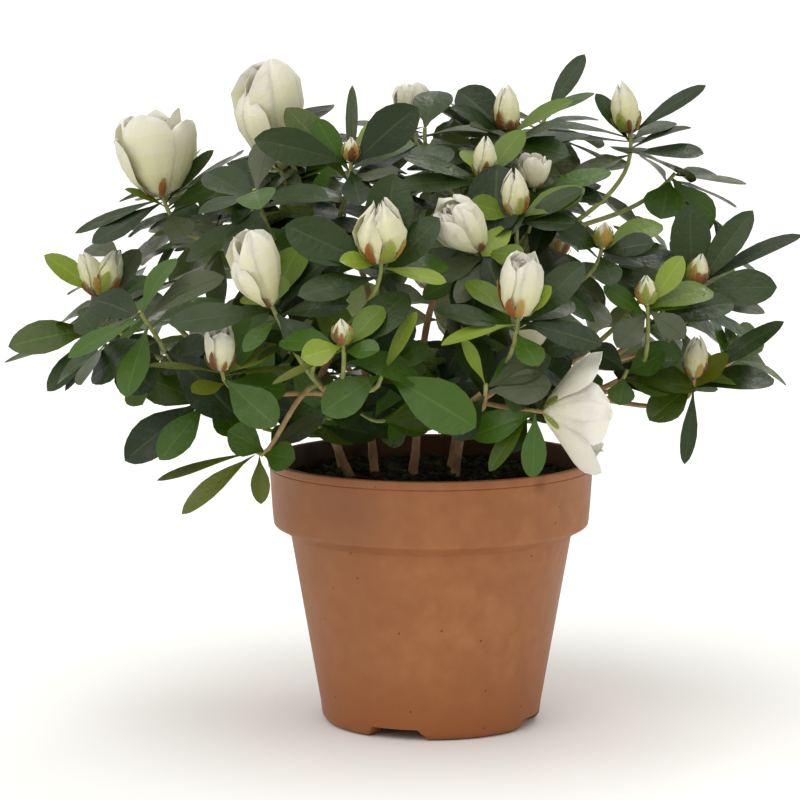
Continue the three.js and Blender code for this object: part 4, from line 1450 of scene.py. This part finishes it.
def innerSprays(bough, number):
    sprays = []
    for order, share in enumerate(innerForm["shares"]):
        seed = seeds["inner"] + number * seeds["innerBough"] + order * seeds["innerStep"]
        chance = dice(seed)
        turn = (order + chance()) * goldenTurn + number
        spray = sideSpray(bough["curve"], share, turn, innerForm, seed, chance)
        end = spray["shoot"]["at"]
        if innerForm["lowest"] < end[2] < innerForm["highest"]:
            spray["shoot"]["outward"] = unit(end - heart - back * innerForm["forward"])
            sprays.append({**spray, "ring": "low"})
    return sprays


def growSprays():
    sprays = []
    for number, bough in enumerate(boughs):
        if bough["ring"] != "top":
            sprays.extend(innerSprays(bough, number))
    for bough, twigs in zip(boughs, masses):
        for twig in twigs:
            for spray in ({**twig, **leafTerms(leafForm)}, *finerSprays(twig)):
                sprays.append({**spray, "ring": bough["ring"]})
    return sprays


def makeTwigs(sprays):
    heap = Heap()
    for spray in sprays:
        radius = spray["radius"]
        points, faces = tube(
            spray["curve"],
            lambda share: mix(radius, twigForm["tipRadius"], share),
            twigForm,
            spray["shoot"]["seed"] * seeds["twigBark"],
        )
        thick = radius > twigForm["tanRadius"]
        tones = [0 if thick and points[face[0]][2] < twigForm["tanBelow"] else 1 for face in faces]
        heap.add(points, faces, tones)
    materials = [twoTone(name, tones, twigLook) for name, tones in twigTones.items()]
    finishPiece(heap.make("youngTwigs", materials, barkForm["smoothAngle"]), "bark", *massNodes)


def leavesOf(spray):  # first those that show plainly, then the rule's own behind and below them
    shoot = spray["shoot"]
    chance = dice(shoot["seed"] + seeds["leafTones"])
    for order, (*reach, breadth, facing, tone) in enumerate(shoot["shown"]):
        leaf = shownLeaf(spray, order, np.array(reach), breadth, facing)
        yield bladePoints(leaf), varied(tone, chance)
    whole = spray["whorl"] + (0 if shoot["shown"] else spray["below"])
    for index in range(whole):
        for attempt in range(leafForm["tries"]):
            leaf = planLeaf(spray, index, attempt)
            points = bladePoints(leaf)
            behind = leaf["aim"][1] > leafForm["behind"] or not shoot["shown"]
            if behind and leafFits(points):
                yield points, varied(topTone(shoot, index, chance), chance)
                break


def makeLeaves(sprays):
    materials = []
    for name, tone in leafTones.items():
        materials.append(leafMaterial("leaf" + name[0].upper() + name[1:], tone))
    for ring, name in (("low", "lowerFoliage"), ("mid", "middleFoliage"), ("top", "upperFoliage")):
        heap = Heap()
        for spray in sprays:
            if spray["ring"] == ring:
                for points, tone in leavesOf(spray):
                    heap.add(points, bladeTop + bladeUnder, bladeTones(tone))
        foliage = heap.make(name, materials, leafForm["smoothAngle"])
        finishPiece(foliage, "foliage", *massNodes)


sprays = growSprays()
makeTwigs(sprays)
makeLeaves(sprays)

# Blossoms
petalGrid = {"rows": (0.08, 0.3, 0.54, 0.76, 0.91, 0.98), "columns": (-1, -0.64, -0.22, 0.22, 0.64, 1),
             "unders": (-0.4, 0.4)}
scaleGrid = {"rows": (0.15, 0.45, 0.75, 0.93), "columns": (-1, 0, 1), "unders": (0,)}

# What all petals and scales share: each set of waves has how often it turns across and how it shifts
petalForm = {
    "footSpan": 0.75,
    "fullSpan": 0.5,
    "narrowest": 0.05,
    "widest": 85,
    "innerBroader": 0.6,
    "wander": 0.25,
    "broadWaves": (2.6 * math.pi, 6),
    "fineWaves": (7, 17),
    "fineWaveSize": 0.5,
    "edgeWaves": (9, 23),
    "edgeFrom": 0.6,
    "waveLift": 0.4,
    "thickness": 0.35,
    "tipInset": 0.15,
    "footSink": 0.5,
}

# What a blossom has unless its own kind says otherwise
plainBlossom = {
    "petals": 4,  # in the outer ring
    "lobe": 0.1,  # how far a petal hangs at its sides
    "ruffle": 0.04,  # how far it waves
    "lap": 0.07,  # how far it overlaps the next
    "spread": 0.06,  # how far some lean out or in at the top
    "ragged": 0.02,  # how uneven its upper edge is
    "inner": 0.7,  # the inner ring's reach
    "point": 1.0,  # below 1 for blunter ends, above 1 for sharper ones
    "paler": 0,  # steps of tone, or creamier below 0
    "plan": (),  # each outer petal's turn in degrees and its height
    "scaleSpan": (12, 26),  # a bud scale's least and greatest half breadth in degrees
    "leans": (0,),  # one blossom for each, leaning by that many degrees
    "back": 0,  # how far it turns away from the viewer
}


def blossom(**changes):
    return {**plainBlossom, **changes}


# Breadth is to the height. Span is a petal's half breadth and twist its turn from foot to top, in degrees.
# Round is the share of height from which it rounds off, uneven how much the petals differ in height, and
# outline how far they reach from foot to top.
blossomForms = {
    "bud": blossom(
        breadth=0.56, span=62, twist=55, round=0.3, ruffle=0.01, spread=0.0, ragged=0.0, inner=0.8,
        uneven=0.12, point=0.7, paler=-1, scales=7, scaleHeight=0.47, scaleSpan=(15, 32),
        outline=((0, 0.5), (0.2, 0.86), (0.4, 1.0), (0.65, 0.88), (0.85, 0.6), (1, 0.2)),
    ),
    "slim": blossom(
        breadth=0.64, span=58, twist=24, round=0.8, lobe=0.06, ruffle=0.05, spread=0.08, uneven=0.15,
        scales=7, scaleHeight=0.5,
        outline=((0, 0.45), (0.2, 0.8), (0.45, 0.96), (0.75, 0.96), (1, 0.7)),
    ),
    "cup": blossom(
        breadth=0.94, petals=5, span=44, twist=6, round=0.62, lobe=0.03, lap=0.08, inner=0.76,
        uneven=0.32, point=0.6, scales=4, scaleHeight=0.26,
        plan=((-104, 1.03), (-172, 0.76), (-30, 0.87), (42, 0.8), (122, 0.95)),
        outline=((0, 0.3), (0.14, 0.56), (0.36, 0.8), (0.65, 0.97), (0.85, 1.0), (1, 0.94)),
    ),
    "folded": blossom(
        breadth=0.76, span=52, twist=10, round=0.4, lobe=0.14, lap=0.1, uneven=0.18, paler=-1,
        scales=8, scaleHeight=0.45,
        outline=((0, 0.4), (0.2, 0.78), (0.45, 1.0), (0.7, 0.9), (1, 0.3)),
    ),
    "crumpled": blossom(
        breadth=0.84, petals=5, span=46, twist=20, round=0.7, lobe=0.05, ruffle=0.08, lap=0.1,
        spread=0.12, inner=0.68, uneven=0.2, point=0.6, scales=3, scaleHeight=0.22,
        outline=((0, 0.3), (0.15, 0.55), (0.4, 0.85), (0.68, 1.0), (0.88, 0.88), (1, 0.62)),
    ),
    "tall": blossom(
        breadth=0.66, petals=3, span=80, twist=8, round=0.6, lobe=0.03, ruffle=0.03, lap=0.12,
        spread=0.04, inner=0.6, uneven=0.3, point=0.7, scales=3, scaleHeight=0.18,
        plan=((-48, 1.03), (-172, 0.76), (72, 0.98)),
        outline=((0, 0.22), (0.2, 0.54), (0.5, 0.9), (0.7, 0.98), (0.86, 0.82), (1, 0.46)),
    ),
    "open": blossom(
        breadth=2.05, petals=5, span=41, twist=4, round=0.5, lobe=0.12, ruffle=0.08, lap=0.05,
        ragged=0.05, uneven=0.15, point=0.6, paler=2, scales=4, scaleHeight=0.24, back=0.5,
        outline=((0, 0.12), (0.2, 0.34), (0.45, 0.62), (0.75, 0.9), (1, 1.02)),
    ),
    "point": blossom(
        breadth=0.66, span=58, twist=40, round=0.4, ruffle=0.0, lap=0.06, spread=0.0, ragged=0.0,
        inner=0.8, uneven=0.1, paler=-1, scales=10, scaleHeight=0.74, scaleSpan=(20, 38),
        outline=((0, 0.5), (0.25, 0.92), (0.5, 1.0), (0.75, 0.72), (1, 0.14)),
    ),
}
blossomForms["pair"] = {**blossomForms["bud"], "leans": (-20, 24)}

scaleForm = {
    "twist": 10, "round": 0.1, "lobe": 0.0, "ruffle": 0.0, "lap": 0.02, "ragged": 0.0, "point": 1.5,
    "outline": (0, 0.3, 0.6, 1.0),
    "heights": (0.5, 1.2),
    "wander": 0.6,
    "looseness": 1.07,
    "gap": 0.4,
}

petalLook = {
    "roughness": 0.5,
    "specular": 0.25,
    "glow": 0.35,
    "glowRadius": (0.8, 0.85, 0.6),
    "glowDepth": 0.003,
    "grain": {"Size": 0.0014, "Roughness": 0.5},
    "grainDepth": 0.0002,
    "smoothAngle": 70,
}
scaleLook = {**petalLook, "roughness": 0.55}
petalShades = {0.0: (207, 204, 151), 0.5: (214, 211, 179), 1.0: (218, 215, 204)}  # by share of height
petalTones = {
    "petalShade%d" % step: [float(np.interp(row, list(petalShades), channel))
                            for channel in zip(*petalShades.values())]
    for step, row in enumerate(petalGrid["rows"])
}
scaleTones = {
    "scaleRust": (134, 76, 36),
    "scaleGold": (158, 124, 52),
    "scaleGreen": (126, 136, 50),
    "scaleBrown": (106, 62, 36),
}


def petalPoints(grid, bloom, form, petal):
    axis, radius, height = bloom["axis"], bloom["radius"], bloom["height"]
    rightward = square(right, axis)
    deep = np.cross(axis, rightward)

    def ripple(columns, waves):
        count, shift = waves
        return np.sin(count * columns + petal["phase"] * shift)

    def surface(rows, columns, inset):
        shared = petalForm
        ending = np.clip((rows - form["round"]) / (1 - form["round"]), 0, 1)
        tapering = np.maximum(np.sqrt(1 - ending**2) ** form["point"], shared["narrowest"])
        broadening = mix(shared["footSpan"], 1.0, np.clip(rows / shared["fullSpan"], 0, 1))
        half = petal["span"] * degree * broadening * tapering
        turns = petal["turn"] + form["twist"] * degree * rows + half * columns
        reach = radius * smooth(form["outline"], rows) * petal["ring"] * (1 + petal["spread"] * rows**2)
        reach = reach * (1 + form["lap"] * columns)
        folds = ripple(columns, shared["broadWaves"]) * rows**2
        folds = folds + shared["fineWaveSize"] * ripple(columns, shared["fineWaves"]) * rows**4
        reach = reach + radius * form["ruffle"] * folds - inset
        edge = np.clip((rows - shared["edgeFrom"]) / (1 - shared["edgeFrom"]), 0, 1)
        ragged = form["ragged"] * ripple(columns, shared["edgeWaves"]) * edge
        lobe = form["lobe"] * columns**2 * rows**3
        lift = height * (rows - lobe + shared["waveLift"] * form["ruffle"] * folds + ragged)
        flat = np.cos(turns)[..., None] * rightward + np.sin(turns)[..., None] * deep
        return bloom["at"] + flat * reach[..., None] + axis * lift[..., None]

    rows, columns, unders = (np.array(grid[name], float) for name in ("rows", "columns", "unders"))
    rows = rows[:, None]
    outer = surface(rows, columns + 0 * rows, 0.0)
    inner = surface(rows, unders + 0 * rows, petalForm["thickness"])
    foot = bloom["at"] - axis * petalForm["footSink"]
    tip = surface(np.array([[1.0]]), np.array([[0.0]]), petalForm["tipInset"])[0, 0]
    body = np.concatenate([outer, inner], axis=1).reshape(-1, 3)
    return np.concatenate([[foot], body, [tip]])


def gridFaces(grid):
    return sheetFaces(len(grid["rows"]), len(grid["columns"]), len(grid["unders"]))


petalOuter, petalInner = gridFaces(petalGrid)
petalFaces = petalOuter + petalInner
scaleFaces = sum(gridFaces(scaleGrid), [])


def petalFaceTones():  # each face's tone by its row, creamier low down
    rows = len(petalGrid["rows"])

    def tones(faces, across):
        numbers = [index // across for index in range((rows - 1) * across)]
        return numbers + [0 if index % 2 == 0 else rows - 1 for index in range(len(faces) - len(numbers))]

    return tones(petalOuter, len(petalGrid["columns"]) - 1) + tones(petalInner, len(petalGrid["unders"]) + 1)


petalFaceTone = petalFaceTones()


def addPetals(heap, bloom, form, seed):
    chance = dice(seed)
    firstTurn = chance() * 2 * math.pi
    inner = form["inner"]
    tones = [within(tone + form["paler"], 0, len(petalTones) - 1) for tone in petalFaceTone]
    rings = (  # reach, petals, offset, height, how uneven
        (1.0, form["petals"], 0.0, 1.03, form["uneven"]),
        (inner, form["petals"] - 1, 0.5, 1.0, 0.1),
        (inner**2.5, 2, 0.2, 0.93, 0.08),
    )
    for ring, count, offset, tallest, uneven in rings:
        for index in range(count):
            wander = petalForm["wander"] * (chance() - 0.5)
            turn = firstTurn + (index + offset + wander) * 2 * math.pi / count
            tall = tallest - uneven * chance()
            if ring == 1.0 and form["plan"]:
                planned, tall = form["plan"][index]
                turn = planned * degree
            petal = {
                "turn": turn,
                "ring": ring,
                "phase": chance(),
                "spread": form["spread"] * (2 * chance() - 1),
                "span": min(petalForm["widest"], form["span"] / ring ** petalForm["innerBroader"]),
            }
            sized = {**bloom, "height": bloom["height"] * tall}
            heap.add(petalPoints(petalGrid, sized, form, petal), petalFaces, tones)


def addScales(heap, bloom, form, seed):
    chance = dice(seed)
    radius = bloom["radius"] * scaleForm["looseness"] + scaleForm["gap"]
    shares = np.array(scaleForm["outline"])
    for index in range(form["scales"]):
        reach = form["scaleHeight"] * mix(*scaleForm["heights"], chance())
        outline = tuple(zip(shares, smooth(form["outline"], shares * reach)))
        petal = {
            "turn": (index + scaleForm["wander"] * chance()) * 2 * math.pi / form["scales"],
            "ring": 1.0,
            "phase": 0.0,
            "spread": 0.0,
            "span": mix(*form["scaleSpan"], chance()),
        }
        tone = int(chance() * len(scaleTones))
        sized = {**bloom, "radius": radius, "height": bloom["height"] * reach}
        heap.add(petalPoints(scaleGrid, sized, {**scaleForm, "outline": outline}, petal), scaleFaces, tone)


def softMaterials(tones, look):
    materials = []
    for name, tone in tones.items():
        material, tree, shader = newMaterial(name, tone, look["roughness"], look["specular"])
        shader.inputs["Subsurface Weight"].default_value = look["glow"]
        shader.inputs["Subsurface Radius"].default_value = look["glowRadius"]
        shader.inputs["Subsurface Scale"].default_value = look["glowDepth"]
        grainRelief(tree, shader, look)
        materials.append(material)
    return materials


def makeBlossoms():
    petals, scales = Heap(), Heap()
    for shoot in shoots:
        if shoot["kind"] == "leaf":
            continue
        form = blossomForms[shoot["kind"]]
        height = shoot["height"]
        axis = shoot["axis"] + back * form["back"]
        for order, lean in enumerate(form["leans"]):
            turned = unit(axis) * math.cos(lean * degree) + np.cross(back, axis) * math.sin(lean * degree)
            bloom = {"at": shoot["at"], "axis": unit(turned), "radius": height * form["breadth"] / 2,
                     "height": height}
            seed = shoot["seed"] + seeds["blossoms"] + order
            addPetals(petals, bloom, form, seed)
            addScales(scales, bloom, form, seed + seeds["scales"])
    for heap, name, tones, look in ((petals, "creamPetals", petalTones, petalLook),
                                    (scales, "budScales", scaleTones, scaleLook)):
        piece = heap.make(name, softMaterials(tones, look), look["smoothAngle"])
        finishPiece(piece, "foliage", *massNodes)


makeBlossoms()

# Floor, light and camera
stageForm = {
    "floorSize": 80,
    "floorColour": (250, 250, 250),
    "floorRoughness": 0.9,
    "skyColour": (1, 0.995, 0.96, 1),
    "skyStrength": 0.72,
}
skylights = {
    "broadSkylight": {"from": (-0.3, -0.5, 1.0), "spread": 75, "strength": 1.7, "colour": (1.0, 0.98, 0.945)},
    "glintSkylight": {"from": (0.25, 0.7, 1.0), "spread": 24, "strength": 0.5, "colour": (1.0, 0.97, 0.9)},
}
cameraForm = {"place": (-11.6, -1400, 311), "target": (-11.6, 0, 121), "span": 298.4, "distance": 1412.8}


def makeStage():
    bpy.ops.object.select_all(action="DESELECT")
    bpy.ops.mesh.primitive_plane_add(size=stageForm["floorSize"], location=(0, 0, 0))
    floor = bpy.context.object
    floor.name = "paleFloor"
    paper, *_ = newMaterial("palePaper", stageForm["floorColour"], stageForm["floorRoughness"])
    floor.data.materials.append(paper)
    world = bpy.data.worlds.new("paleRoom")
    bpy.context.scene.world = world
    world.use_nodes = True
    sky = world.node_tree.nodes["Background"]
    sky.inputs["Color"].default_value = stageForm["skyColour"]
    sky.inputs["Strength"].default_value = stageForm["skyStrength"]


def aimedObject(name, data, direction):
    thing = bpy.data.objects.new(name, data)
    thing.rotation_euler = direction.to_track_quat("-Z", "Y").to_euler()
    bpy.context.scene.collection.objects.link(thing)
    return thing


def makeLamps():
    for name, skylight in skylights.items():
        light = bpy.data.lights.new(name, "SUN")
        light.angle = skylight["spread"] * degree
        light.energy = skylight["strength"]
        light.color = skylight["colour"]
        aimedObject(name, light, -Vector(skylight["from"]))


def makeCamera():
    eye = Vector(inMetres(cameraForm["place"]))
    target = Vector(inMetres(cameraForm["target"]))
    lens = bpy.data.cameras.new("photoView")
    lens.sensor_fit = "HORIZONTAL"
    lens.angle = 2 * math.atan(cameraForm["span"] / 2 / cameraForm["distance"])
    camera = aimedObject("photoView", lens, target - eye)
    camera.location = eye
    bpy.context.scene.camera = camera


makeStage()
makeLamps()
makeCamera()
bpy.context.scene.view_settings.view_transform = "Standard"
print("stage, lamps and camera set")
